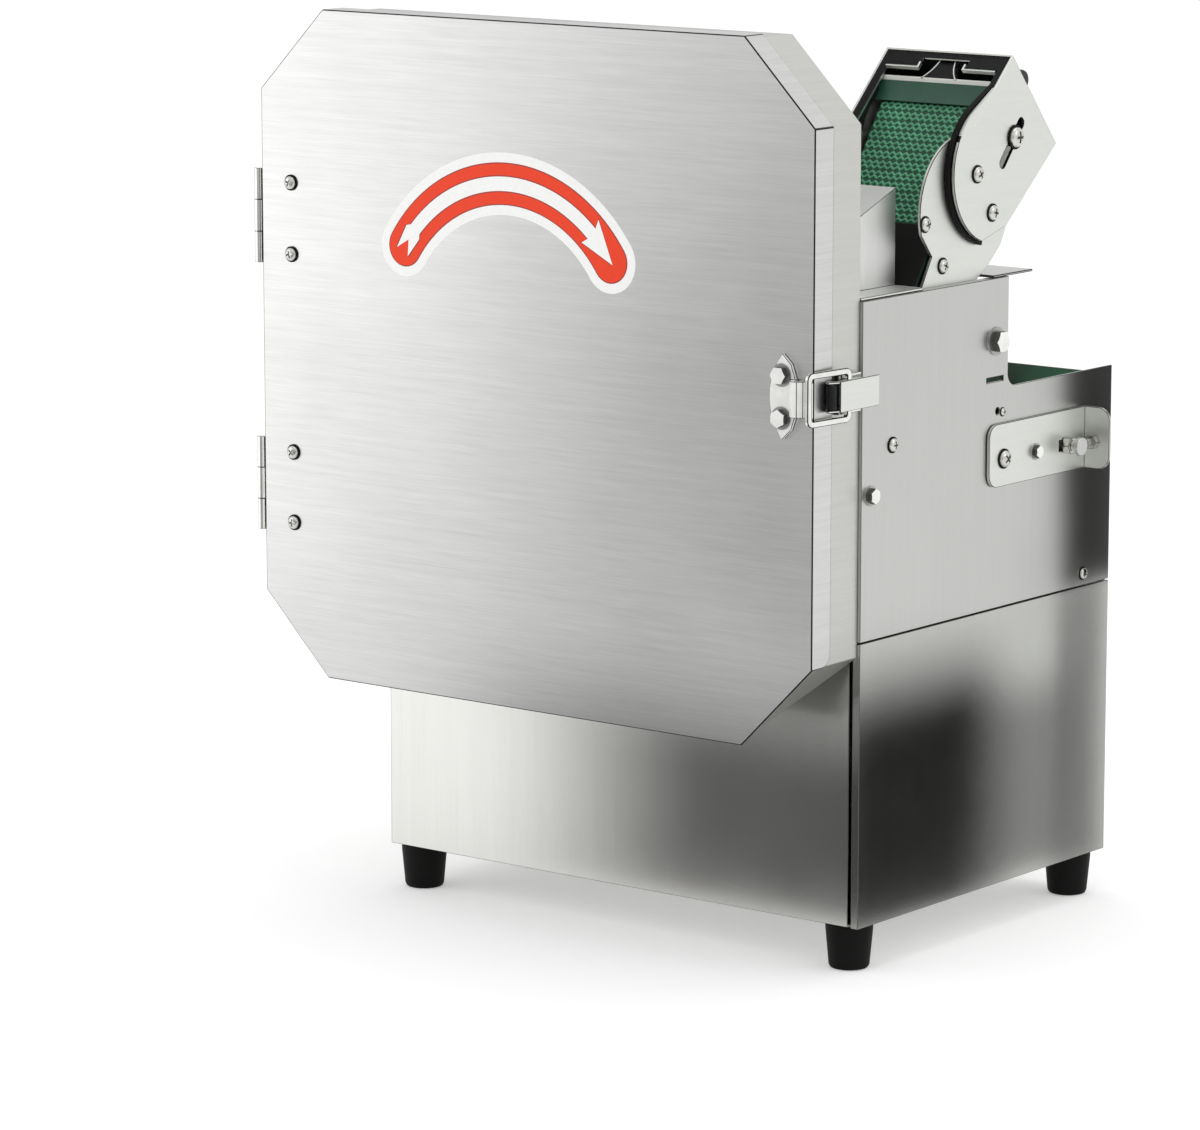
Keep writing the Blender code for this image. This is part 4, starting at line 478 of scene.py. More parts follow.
@dataclass
class Workshop:
    """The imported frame, the datum corner of the door, and the materials made so far."""

    frame: dict
    datum: Vector
    materials: dict[str, bpy.types.Material] = field(default_factory=dict)

    def at(self, x: float, y: float, z: float) -> Vector:
        """Turns millimetres from the door's corner into a point of the frame, in metres."""
        return self.datum + Vector((x, y, z)) * MM

    def across(self, axis: int, flat: Point, depth: float) -> Vector:
        """Gives the frame's point at a place across an axis and a depth along it."""
        point = list(flat)
        point.insert(axis, depth)
        return self.at(*point)

    def paint(self, finish: Finish) -> bpy.types.Material:
        """Gives the finish's material, made once."""
        if finish.name not in self.materials:
            self.materials[finish.name] = finish.material()
        return self.materials[finish.name]

    def body_of(self, node: str) -> str:
        """Gives the name of the body that a CAD node rides on."""
        return self.frame["nodes"][node]["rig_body"]

    def seat(self, piece: bpy.types.Object, like: str, *replaced: str) -> bpy.types.Object:
        """Makes a piece ride with a node's body, and hides the nodes it stands for.

        Args:
            piece: The finished piece.
            like: The CAD node whose body it takes.
            *replaced: The CAD nodes that it stands for.

        Returns:
            The same piece.
        """
        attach(piece, self.body_of(like))
        if replaced:
            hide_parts(*replaced)
        LOG.info("%s rides with %s, stands for %s", piece.name, self.body_of(like), replaced or "no node")
        return piece

    def object_from(self, name: str, shape: bmesh.types.BMesh, finish: Finish) -> bpy.types.Object:
        """Turns a bmesh in frame coordinates, which is freed, into a smooth object with its finish."""
        bmesh.ops.remove_doubles(shape, verts=shape.verts, dist=WELD)
        bmesh.ops.recalc_face_normals(shape, faces=shape.faces)
        mesh = mesh_of(name, shape)
        mesh.materials.append(self.paint(finish))
        smooth(mesh, sharp=35.0)
        return linked(name, mesh)

    def bevel(self, piece: bpy.types.Object, width_mm: float, edge: Finish | None = None,
              angle: float = ROUNDED_FROM) -> None:
        """Rounds a piece's edges with a Bevel modifier.

        Args:
            piece: The piece.
            width_mm: The rounding's width.
            edge: The rounding's own finish, or none for that of the faces beside it.
            angle: Edges under this angle, in degrees, are left alone.
        """
        rounding = piece.modifiers.new("edge_rounding", "BEVEL")
        if edge:
            piece.data.materials.append(self.paint(edge))
            rounding.material = len(piece.data.materials) - 1
        rounding.width = width_mm * MM
        rounding.segments = 2
        rounding.limit_method = "ANGLE"
        rounding.angle_limit = math.radians(angle)
        rounding.use_clamp_overlap = False
        weighting = piece.modifiers.new("face_weighting", "WEIGHTED_NORMAL")
        weighting.keep_sharp = True

    def add(self, name: str, shape: bmesh.types.BMesh, finish: Finish, width_mm: float, like: str,
            *replaced: str, edge: Finish | None = None, angle: float = ROUNDED_FROM) -> None:
        """Makes a piece that the frame doesn't have, or has in a plainer form.

        Args:
            name: The piece's name.
            shape: Its form in frame coordinates.
            finish: Its finish.
            width_mm: How wide its edges are rounded, or 0 for sharp ones.
            like: The CAD node whose body it takes.
            *replaced: The CAD nodes that it stands for.
            edge: The finish of its edges, or none for its own.
            angle: Edges under this angle, in degrees, aren't rounded.
        """
        piece = self.object_from(name, shape, finish)
        if width_mm:
            self.bevel(piece, width_mm, edge, angle)
        self.seat(piece, like, *replaced)

    def dress(self, node: str, finish: Finish, width_mm: float,
              edge: Finish | None = None) -> bpy.types.Object:
        """Stands a softened copy in for a CAD node, with its edges rounded and its plain heads gone.

        Args:
            node: The CAD node.
            finish: The copy's finish.
            width_mm: How wide its edges are rounded.
            edge: The finish of its edges, or none for the copy's own.

        Returns:
            The copy.
        """
        shape = bmesh.new()
        shape.from_mesh(self.frame["nodes"][node].data)
        bmesh.ops.remove_doubles(shape, verts=shape.verts, dist=WELD)
        bmesh.ops.dissolve_limit(shape, angle_limit=math.radians(0.5), verts=shape.verts, edges=shape.edges)
        for head in heads_on(node):
            head.take_off(self, shape)
        bmesh.ops.remove_doubles(shape, verts=shape.verts, dist=SHORT_EDGE * MM)
        piece = self.object_from(f"{node}_softened", shape, finish)
        self.bevel(piece, width_mm, edge)
        return self.seat(piece, node, node)

    def dress_all(self, *rows: tuple) -> None:
        """Dresses CAD nodes, each by a row of what dress takes."""
        for row in rows:
            self.dress(*row)


@dataclass(frozen=True)
class Fastener:
    """A head on a sheet: which node carries it, where it sits, which way it faces and how big it is."""

    node: str
    kind: HeadKind
    seat: Place
    radius: float
    axis: int = 0
    outward: int = 1
    reach: float = 0.0

    def take_off(self, shop: Workshop, shape: bmesh.types.BMesh) -> None:
        """Removes the plain head from a copy of the CAD node and closes the hole that it leaves."""
        centre = shop.at(*self.seat)
        margin = 0.3
        reach = ((self.reach or self.radius) + margin) * MM
        sheet = -0.02 * MM

        def on_head(vert: bmesh.types.BMVert) -> bool:
            """Says whether a corner belongs to the head."""
            away = vert.co - centre
            height = away[self.axis] * self.outward
            away[self.axis] = 0.0
            return height > sheet and away.length < reach

        faces = [face for face in shape.faces if all(on_head(vert) for vert in face.verts)]
        bmesh.ops.delete(shape, geom=faces, context="FACES")
        bmesh.ops.holes_fill(shape, edges=[edge for edge in shape.edges if edge.is_boundary], sides=0)


FASTENERS = [
    Fastener("right_side_panel", HeadKind.PAN, (410.0, 77.1, 168.7), 4.0),
    Fastener("right_side_panel", HeadKind.PAN, (410.0, 277.8, 65.4), 3.4),
    Fastener("right_side_panel", HeadKind.PAN, (410.0, 189.0, 174.4), 2.3),
    Fastener("right_side_panel", HeadKind.HEX, (410.0, 55.9, 142.0), 4.6),
    Fastener("right_side_panel", HeadKind.HEX, (410.0, 181.5, 217.0), 6.6, reach=9.5),
    Fastener("drive_cover", HeadKind.PAN, (70.0, 306.6, 74.0), 3.6, axis=1),
    Fastener("drive_cover", HeadKind.PAN, (302.0, 306.6, 74.0), 3.6, axis=1),
    Fastener("drive_cover", HeadKind.PAN, (70.0, 306.6, 148.0), 3.6, axis=1),
    Fastener("drive_cover", HeadKind.PAN, (302.0, 306.6, 148.0), 3.6, axis=1),
    Fastener("rear_sill", HeadKind.PAN, (330.0, 306.6, 74.0), 3.6, axis=1),
    Fastener("rear_sill", HeadKind.PAN, (396.0, 306.6, 74.0), 3.6, axis=1),
    Fastener("press_cheek_right", HeadKind.PAN, (404.0, 115.8, 290.9), 4.1),
    Fastener("press_cheek_right", HeadKind.PAN, (404.0, 134.0, 265.3), 4.1),
    Fastener("press_head_frame", HeadKind.PAN, (410.0, 159.5, 316.5), 4.5),
    Fastener("press_head_frame", HeadKind.PAN, (410.0, 175.5, 292.8), 4.5),
    Fastener("tension_bracket", HeadKind.PAN, (412.3, 187.6, 147.0), 5.0),
    Fastener("tension_bracket", HeadKind.HEX, (412.3, 221.4, 147.0), 3.9),
    Fastener("press_tail_roller", HeadKind.PAN, (410.25, 197.7, 335.0), 6.0),
    Fastener("latch_keeper", HeadKind.HEX, (389.6, -2.3, 216.2), 5.2, axis=1, outward=-1, reach=5.6),
    Fastener("latch_keeper", HeadKind.HEX, (389.6, -2.3, 191.8), 5.2, axis=1, outward=-1, reach=5.6),
] + [
    Fastener(f"door_hinge_leaf_{level}", HeadKind.PAN, (23.4, -0.3, middle + side * 21.55), 4.0, axis=1,
             outward=-1)
    for level, middle in (("lower", 114.5), ("upper", 277.8)) for side in (-1, 1)
]


def heads_on(node: str) -> list[Fastener]:
    """Gives the fasteners that a node carries."""
    return [fastener for fastener in FASTENERS if fastener.node == node]


def lofted(rings: list[list[Vector]], closed: bool = False) -> bmesh.types.BMesh:
    """Joins rings of points by quads, each ring to the next.

    Args:
        rings: Rings with the same number of points.
        closed: Whether the last ring joins the first. If not, both ends are capped.

    Returns:
        A closed bmesh.
    """
    shape = bmesh.new()
    corners = [[shape.verts.new(point) for point in ring] for ring in rings]
    following = corners[1:]
    if closed:
        following.append(corners[0])
    else:
        shape.faces.new(corners[0])
        shape.faces.new(corners[-1])
    for near, far in zip(corners, following):
        for index in range(len(near)):
            after = (index + 1) % len(near)
            shape.faces.new((near[index], near[after], far[after], far[index]))
    return shape


def prism(shop: Workshop, axis: int, outline: list[Point], low: float, high: float) -> bmesh.types.BMesh:
    """Extrudes an outline in millimetres along an axis of the door's own frame.

    Args:
        shop: The workshop, for its datum.
        axis: 0, 1 or 2 for X, Y or Z.
        outline: The outline's points in the two other axes, in their order.
        low: Where the solid starts along the axis.
        high: Where it ends.

    Returns:
        A closed bmesh.
    """
    return lofted([[shop.across(axis, flat, depth) for flat in outline] for depth in (low, high)])


def turned(shop: Workshop, axis: int, centre: Point, profile: list[Point],
           segments: int) -> bmesh.types.BMesh:
    """Makes a solid of revolution.

    Args:
        shop: The workshop, for its datum.
        axis: The axis it turns round: 0, 1 or 2.
        centre: The axis' place in the two other directions.
        profile: Points of radius and place along the axis, from one end to the other.
        segments: The number of facets round it.

    Returns:
        A closed bmesh.
    """
    return lofted([[shop.across(axis, flat, depth) for flat in arc(centre, radius, 0, 360, segments)[:-1]]
                   for radius, depth in profile])


def merged(shapes: list[bmesh.types.BMesh]) -> bmesh.types.BMesh:
    """Adds closed shapes to the first of them, and frees the rest."""
    base = shapes[0]
    for other in shapes[1:]:
        mesh = mesh_of("transfer", other)
        base.from_mesh(mesh)
        bpy.data.meshes.remove(mesh)
    return base


def closed_band(centre: Point, radius: float, half: float, start: float, end: float,
                steps: int = 64) -> list[Point]:
    """Gives the outline of a curved band with round ends.

    Args:
        centre: The centre of the band's curve.
        radius: The middle line's radius.
        half: Half the band's width.
        start: The direction of the band's first end, in degrees.
        end: The direction of its last end, which is the smaller angle.
        steps: The number of chords along each side.

    Returns:
        The outline's points.
    """
    outer = arc(centre, radius + half, start, end, steps)
    last = arc(arc(centre, radius, end, end, 1)[0], half, end, end - 180, 16)
    inner = arc(centre, radius - half, end, start, steps)
    first = arc(arc(centre, radius, start, start, 1)[0], half, start + 180, start, 16)
    return outer + last[1:-1] + inner + first[1:-1]


@dataclass
class DirectionLabel:
    """The curved arrow sign on the door: white film, a red band with a dark edge line, a white arrow."""

    shop: Workshop
    centre: Point = (190.0, 217.0)
    radius: float = 92.7
    start: float = 146.6
    end: float = 34.8
    film_half: float = 18.2
    band_half: float = 11.7
    line: float = 0.7
    shaft_half: float = 4.2
    layer: float = 0.06
    sunk: float = 0.5

    def polar(self, degrees: float, offset: float) -> Point:
        """Gives a point at an angle along the band and an offset outward from its middle line."""
        return arc(self.centre, self.radius + offset, degrees, degrees, 1)[0]

    def arrow(self, grow: float) -> list[Point]:
        """Gives the arrow's outline: swallow tail on the left, head on the right.

        Args:
            grow: How far the outline is widened, for the edge line.

        Returns:
            The outline's points.
        """
        half = self.shaft_half + grow
        step = math.degrees(grow / self.radius)
        neck, barb, tip = 47.5, 48.6, 33.4
        shaft_end, tail_wide, notch, tail_tip = 138.6, 140.2, 143.6, 149.2
        chords = 40
        upper = [self.polar(tail_tip + step, 4.6 + grow), self.polar(tail_wide + step, 6.4 + grow),
                 self.polar(shaft_end, half)]
        upper += [self.polar(shaft_end + (neck - shaft_end) * share / chords, half)
                  for share in range(1, chords + 1)]
        head = [self.polar(barb + step, 9.6 + grow), self.polar(tip - step, 0.6),
                self.polar(barb + step, -9.0 - grow), self.polar(neck, -half)]
        lower = [self.polar(neck + (shaft_end - neck) * share / chords, -half)
                 for share in range(1, chords + 1)]
        tail = [self.polar(tail_wide + step, -6.0 - grow), self.polar(tail_tip + step, -5.0 - grow),
                self.polar(notch, 0.0)]
        return upper + head + lower + tail

    def build(self) -> None:
        """Lays the layers of film on the door, each a thin solid that reaches a little into the last."""
        shop = self.shop
        band = (self.centre, self.radius)
        span = (self.start, self.end)
        layers = [
            ("label_film", closed_band(*band, self.film_half, *span), LABEL_WHITE),
            ("label_band_line", closed_band(*band, self.band_half + self.line, *span), LABEL_EDGE),
            ("label_band", closed_band(*band, self.band_half, *span), LABEL_RED),
            ("label_arrow_line", self.arrow(self.line), LABEL_EDGE),
            ("label_arrow", self.arrow(0.0), LABEL_WHITE),
        ]
        for number, (name, outline, finish) in enumerate(layers):
            outer = -self.layer * (number + 1)
            inner = outer + self.layer * (1 + self.sunk)
            piece = shop.object_from(name, prism(shop, 1, outline, outer, inner), finish)
            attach(piece, shop.body_of("door_panel"))
            LOG.info("%s lies on the door", name)


@dataclass
class Door:
    """The octagonal door with its hinges, and the sign on it."""

    shop: Workshop

    def build(self) -> None:
        """Softens the door and its hinges and lays the sign on it."""
        # The door's wide nearly black rounding is painted shade: the dark line of the gap round the door.
        panel = self.shop.dress("door_panel", DOOR_STEEL, 0.68, BLACKED_STEEL)
        # Corners that slide along the face's seams between its screw holes would fold it over.
        panel.modifiers["edge_rounding"].loop_slide = False
        for level in ("lower", "upper"):
            for side in ("door", "body"):
                self.shop.dress(f"{side}_hinge_leaf_{level}", BRIGHT_STEEL, 0.2, BLACKED_STEEL)
        DirectionLabel(self.shop).build()


@dataclass
class Latch:
    """The toggle latch: keeper on the door, base, lever and bail on the chamber."""

    shop: Workshop
    middle: float = 204.0
    bail_front: Point = (411.4, -7.5)
    bail_axis: Point = (414.8, 27.0)
    bail_half: float = 15.5
    bail_rod: float = 1.3
    strap_width: float = 3.6
    outer_corner: float = 4.2
    inner_corner: float = 1.4
    lever_axis: Point = (413.6, 12.0)
    sleeve_radius: float = 3.05
    sleeve_half: float = 7.0
    sleeve_chamfer: float = 0.4

    def rounded_frame(self, inset: float, radius: float) -> list[Point]:
        """Gives the bail's outline as distances along it and up, set in from its outer edge.

        Args:
            inset: How far inside the outer edge it runs.
            radius: The radius of its corners.

        Returns:
            The outline's points, the same number for every inset.
        """
        reach = math.dist(self.bail_front, self.bail_axis)
        low, high = inset - self.bail_rod, reach + self.bail_rod - inset
        top = self.bail_half - inset
        corners = ((high - radius, top - radius, 0), (low + radius, top - radius, 90),
                   (low + radius, radius - top, 180), (high - radius, radius - top, 270))
        return [point for x, z, turn in corners for point in arc((x, z), radius, turn, turn + 90, 6)]

    def build_bail(self) -> None:
        """Makes the bail as a flat strap bent to a frame with round corners."""
        along = (Vector(self.bail_axis) - Vector(self.bail_front)).normalized()
        outer, inner = (0.0, self.outer_corner), (self.strap_width, self.inner_corner)
        rings = []
        for outline, side in ((outer, 1), (inner, 1), (inner, -1), (outer, -1)):
            ring = []
            for run, rise in self.rounded_frame(*outline):
                x = self.bail_front[0] + along.x * run + along.y * side * self.bail_rod
                y = self.bail_front[1] + along.y * run - along.x * side * self.bail_rod
                ring.append(self.shop.at(x, y, self.middle + rise))
            rings.append(ring)
        self.shop.add("bail_strap", lofted(rings, closed=True), BRIGHT_STEEL, 0.5, "latch_bail",
                      "latch_bail", edge=BLACKED_STEEL)

    def build(self) -> None:
        """Softens the pressed pieces, makes them bright, and adds the dark sleeve on the lever's pin."""
        shop = self.shop
        for node, finish in (("latch_keeper", WHITE_ZINC), ("latch_base", BRIGHT_STEEL),
                             ("latch_lever", PLATE_STEEL)):
            shop.dress(node, finish, 0.28, BLACKED_STEEL)
        self.build_bail()
        low, high = self.middle - self.sleeve_half, self.middle + self.sleeve_half
        full, less, cut = self.sleeve_radius, self.sleeve_radius - self.sleeve_chamfer, self.sleeve_chamfer
        profile = [(less, low), (full, low + cut), (full, high - cut), (less, high)]
        shop.add("latch_sleeve", turned(shop, 2, self.lever_axis, profile, 32), BLACKED_STEEL, 0.0,
                 "latch_base")


@dataclass
class Cutter:
    """The chamber with the knife and its drive."""

    shop: Workshop

    def build(self) -> None:
        """Dresses the chamber, the knife's pieces, the pulleys, the belt and the motor."""
        low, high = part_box("knife_disc")
        turned_steel = TurnedSteel("faced_stainless_disc", "#C6C7C5", 0.35, centre=tuple((low + high) / 2))
        self.shop.dress_all(
            ("cutting_chamber", INNER_STEEL, 0.3),
            ("knife_disc", turned_steel, 0.3),
            ("knife_blade_1", BLADE_STEEL, 0.2),
            ("knife_blade_2", BLADE_STEEL, 0.2),
            ("knife_hub", turned_steel, 0.4),
            ("knife_shaft", BARE_STEEL, 0.3),
            ("knife_pulley", BARE_STEEL, 0.3),
            ("motor_pulley", BARE_STEEL, 0.3),
            ("knife_bearing", MOTOR_PAINT, 0.8),
            ("drive_motor", MOTOR_PAINT, 0.8),
            ("drive_belt", BLACK_RUBBER, 0.5),
        )


def node_group(name: str, inputs: dict[str, str], output: str) -> bpy.types.NodeTree:
    """Starts a Geometry Nodes tree with its sockets.

    Args:
        name: The tree's name.
        inputs: The kinds of its inputs by their names.
        output: The name of the geometry that it gives.

    Returns:
        The tree.
    """
    tree = bpy.data.node_groups.new(name, "GeometryNodeTree")
    for socket, kind in inputs.items():
        tree.interface.new_socket(socket, in_out="INPUT", socket_type=f"NodeSocket{kind}")
    tree.interface.new_socket(output, in_out="OUTPUT", socket_type="NodeSocketGeometry")
    return tree


def tread_tree() -> bpy.types.NodeTree:
    """Builds the tree that lays zigzag ridges side by side round a belt's loop.

    Returns:
        The tree. Its inputs are named for what they set.
    """
    lengths = ("Width", "Cell", "Swing", "Ridge Width", "Ridge Height", "Pairing")
    tree = node_group("belt_tread", {"Loop": "Geometry", **dict.fromkeys(lengths, "Float"), "Rows": "Int",
                                     "Material": "Material"}, "Tread")
    node, calc, vector = partial(add_node, tree), partial(sum_of, tree), partial(vector_of, tree)
    given = node("NodeGroupInput").outputs
    parity = calc("MODULO", node("GeometryNodeInputIndex").outputs[0], 2.0)

    half = calc("MULTIPLY", given["Width"], 0.5)
    line = node("GeometryNodeCurvePrimitiveLine", {"Start": vector(calc("MULTIPLY", half, -1.0)),
                                                   "End": vector(half)})
    points = calc("ROUND", calc("DIVIDE", given["Width"], calc("MULTIPLY", given["Cell"], 0.5)))
    odd_count = calc("ADD", calc("MULTIPLY", calc("FLOOR", calc("MULTIPLY", points, 0.5)), 2.0), 1.0)
    rail = node("GeometryNodeResampleCurve", {"Curve": line.outputs["Curve"], "Count": odd_count})
    swing = calc("MULTIPLY", calc("SUBTRACT", parity, 0.5), given["Swing"])
    zigzag = node("GeometryNodeSetPosition", {"Geometry": rail.outputs["Curve"], "Offset": vector(y=swing)})

    profile = node("GeometryNodeCurvePrimitiveCircle", {"Resolution": 6, "Radius": 0.5})
    squash = vector(given["Ridge Width"], calc("MULTIPLY", given["Ridge Height"], 2.0), 1.0)
    flat = node("GeometryNodeTransform", {"Geometry": profile.outputs["Curve"], "Scale": squash})
    upright = node("GeometryNodeSetCurveNormal", {"Curve": zigzag.outputs["Geometry"]}, mode="Z_UP")
    ridge = node("GeometryNodeCurveToMesh", {"Curve": upright.outputs["Curve"], "Fill Caps": True,
                                             "Profile Curve": flat.outputs["Geometry"]})

    loop = node("GeometryNodeMeshToCurve", {"Mesh": given["Loop"]})
    path = node("GeometryNodeResampleCurve", {"Curve": loop.outputs["Curve"], "Count": given["Rows"]})
    stations = node("GeometryNodeCurveToPoints", {"Curve": path.outputs["Curve"]}, mode="EVALUATED").outputs
    across = node("FunctionNodeAxesToRotation", {
        "Primary Axis": (1.0, 0.0, 0.0), "Secondary Axis": stations["Tangent"]},
        primary_axis="X", secondary_axis="Y")
    rows = node("GeometryNodeInstanceOnPoints", {
        "Points": stations["Points"], "Instance": ridge.outputs["Mesh"], "Rotation": across.outputs[0]})
    flipped = node("GeometryNodeRotateInstances", {
        "Instances": rows.outputs["Instances"], "Rotation": vector(z=calc("MULTIPLY", parity, math.pi)),
        "Local Space": True})
    paired = node("GeometryNodeTranslateInstances", {
        "Instances": flipped.outputs["Instances"], "Local Space": True,
        "Translation": vector(y=calc("MULTIPLY", parity, given["Pairing"]))})
    real = node("GeometryNodeRealizeInstances", {"Geometry": paired.outputs["Instances"]})
    painted = node("GeometryNodeSetMaterial", {"Geometry": real.outputs["Geometry"],
                                               "Material": given["Material"]})
    node("NodeGroupOutput", {"Tread": painted.outputs["Geometry"]})
    return tree


def head_tree(kind: HeadKind) -> bpy.types.NodeTree:
    """Builds the tree that sets a head on each point: a domed one with a cross recess, or a hexagon.

    Sizes are shares of the head's radius. A hexagon has the turned chamfer of a real bolt, and its flanks
    take a finish of their own. Both kinds sit on a thin ring: under a pan head a black one, painted shade
    round its foot, and under a hexagon a washer.

    Args:
        kind: The kind of head.

    Returns:
        The tree. Its inputs are named for what they set.
    """
    shares = ("Height", "Recess Length", "Recess Width", "Recess Depth", "Chamfer Radius", "Seal Radius",
              "Seal Height", "Turn Step")
    paints = ("Metal", "Flank", "Seal")
    tree = node_group(f"{kind.value}_heads", {"Places": "Geometry", **dict.fromkeys(shares, "Float"),
                                              **dict.fromkeys(paints, "Material")}, "Heads")
    node, calc, vector = partial(add_node, tree), partial(sum_of, tree), partial(vector_of, tree)
    given = node("NodeGroupInput").outputs
    height = given["Height"]

    if kind is HeadKind.PAN:
        ball = node("GeometryNodeMeshUVSphere", {"Segments": 32, "Rings": 18, "Radius": 1.0})
        place = node("GeometryNodeInputPosition").outputs[0]
        parts = node("ShaderNodeSeparateXYZ", {0: place}).outputs
        rise = calc("MULTIPLY", calc("POWER", calc("MAXIMUM", parts["Z"]), 0.62), height)
        metal = node("GeometryNodeSetPosition", {
            "Geometry": ball.outputs["Mesh"], "Position": vector(parts["X"], parts["Y"], rise)}).outputs[0]
        middle = vector(z=calc("SUBTRACT", calc("ADD", height, 0.5), given["Recess Depth"]))
        long, wide = given["Recess Length"], given["Recess Width"]
        for size in (vector(long, wide, 1.0), vector(wide, long, 1.0)):
            bar = node("GeometryNodeMeshCube", {"Size": size})
            cutter = node("GeometryNodeTransform", {"Geometry": bar.outputs["Mesh"], "Translation": middle})
            metal = node("GeometryNodeMeshBoolean", {0: metal, 1: cutter.outputs[0]},
                         operation="DIFFERENCE", solver="EXACT").outputs["Mesh"]
    else:
        hexagon = node("GeometryNodeMeshCylinder", {"Vertices": 6, "Radius": 1.0, "Depth": height})
        raised = node("GeometryNodeTransform", {
            "Geometry": hexagon.outputs["Mesh"], "Translation": vector(z=calc("MULTIPLY", height, 0.5))})
        foot = calc("ADD", given["Chamfer Radius"], calc("MULTIPLY", height, 1.73))
        cone = node("GeometryNodeMeshCone", {"Vertices": 48, "Radius Top": given["Chamfer Radius"],
                                             "Radius Bottom": foot, "Depth": height})
        lowered = node("GeometryNodeTransform", {"Geometry": cone.outputs["Mesh"],
                                                 "Translation": (0.0, 0.0, -0.0004)})
        metal = node("GeometryNodeMeshBoolean", {1: [raised.outputs[0], lowered.outputs[0]]},
                     operation="INTERSECT", solver="EXACT").outputs["Mesh"]
    plated = node("GeometryNodeSetMaterial", {"Geometry": metal, "Material": given["Metal"]})
    # A hexagon's flanks take a darker finish: partly forged, partly painted shade that sets the hexagon off.
    if kind is HeadKind.HEX:
        normal = node("GeometryNodeInputNormal").outputs[0]
        upright = node("ShaderNodeSeparateXYZ", {0: normal}).outputs["Z"]
        plated = node("GeometryNodeSetMaterial", {
            "Geometry": plated.outputs[0], "Selection": calc("LESS_THAN", upright, 0.3),
            "Material": given["Flank"]})

    # The ring under each head: under a pan head it is black, painted shade round the head's foot.
    disc = node("GeometryNodeMeshCylinder", {"Vertices": 32, "Radius": given["Seal Radius"],
                                             "Depth": given["Seal Height"]})
    sealed = node("GeometryNodeSetMaterial", {"Geometry": disc.outputs["Mesh"], "Material": given["Seal"]})
    washer = node("GeometryNodeTransform", {
        "Geometry": sealed.outputs[0], "Translation": vector(z=calc("MULTIPLY", given["Seal Height"], 0.5))})
    lifted = node("GeometryNodeTransform", {
        "Geometry": plated.outputs[0], "Translation": vector(z=calc("MULTIPLY", given["Seal Height"], 0.6))})
    head = node("GeometryNodeJoinGeometry", {0: [lifted.outputs[0], washer.outputs[0]]})

    size = node("GeometryNodeInputNamedAttribute", {"Name": "head_radius"}, data_type="FLOAT")
    facing = node("GeometryNodeInputNamedAttribute", {"Name": "head_axis"}, data_type="FLOAT_VECTOR")
    turn = node("FunctionNodeAlignRotationToVector", {"Vector": facing.outputs[0]}, axis="Z")
    points = node("GeometryNodeMeshToPoints", {"Mesh": given["Places"]})
    placed = node("GeometryNodeInstanceOnPoints", {
        "Points": points.outputs[0], "Instance": head.outputs[0], "Rotation": turn.outputs[0],
        "Scale": size.outputs[0]})
    spin = vector(z=calc("MULTIPLY", node("GeometryNodeInputIndex").outputs[0], given["Turn Step"]))
    spun = node("GeometryNodeRotateInstances", {"Instances": placed.outputs[0], "Rotation": spin,
                                                "Local Space": True})
    real = node("GeometryNodeRealizeInstances", {"Geometry": spun.outputs[0]})
    node("NodeGroupOutput", {"Heads": real.outputs[0]})
    return tree


def host_of(name: str, points: list[Vector], edges: list[tuple[int, int]]) -> bpy.types.Object:
    """Makes the object of bare points and edges that a tree starts from."""
    mesh = bpy.data.meshes.new(name)
    mesh.from_pydata(points, edges, [])
    return linked(name, mesh)


def run_tree(host: bpy.types.Object, tree: bpy.types.NodeTree, values: dict, name: str) -> bpy.types.Mesh:
    """Runs a Geometry Nodes tree on an object and gives the plain mesh it makes.

    Args:
        host: The object that the tree starts from. It is removed.
        tree: The tree.
        values: The inputs' values by socket name.
        name: The mesh's name.

    Returns:
        The mesh.
    """
    modifier = host.modifiers.new("nodes", "NODES")
    modifier.node_group = tree
    for item in tree.interface.items_tree:
        if item.in_out == "INPUT" and item.name in values:
            modifier[item.identifier] = values[item.name]
    graph = bpy.context.evaluated_depsgraph_get()
    mesh = bpy.data.meshes.new_from_object(host.evaluated_get(graph))
    mesh.name = name
    host.modifiers.clear()
    bpy.data.objects.remove(host)
    return mesh


@dataclass(frozen=True)
class HeadLook:
    """What the heads of one kind share: sizes as shares of the radius, and finishes."""

    sizes: dict[str, float]
    metal: Finish
    washer: Finish


HEAD_LOOKS = {
    # A pan head's black rubber ring is painted shade round its foot; a hexagon sits on a bare steel washer.
    HeadKind.PAN: HeadLook({"Height": 0.62, "Recess Length": 1.15, "Recess Width": 0.27,
                            "Recess Depth": 0.42, "Seal Radius": 1.2, "Seal Height": 0.12,
                            "Turn Step": 0.9}, SCREW_STEEL, BLACK_RUBBER),
    HeadKind.HEX: HeadLook({"Height": 0.78, "Chamfer Radius": 0.88, "Seal Radius": 1.28,
                            "Seal Height": 0.14, "Turn Step": 0.5}, WHITE_ZINC, BARE_STEEL),
}


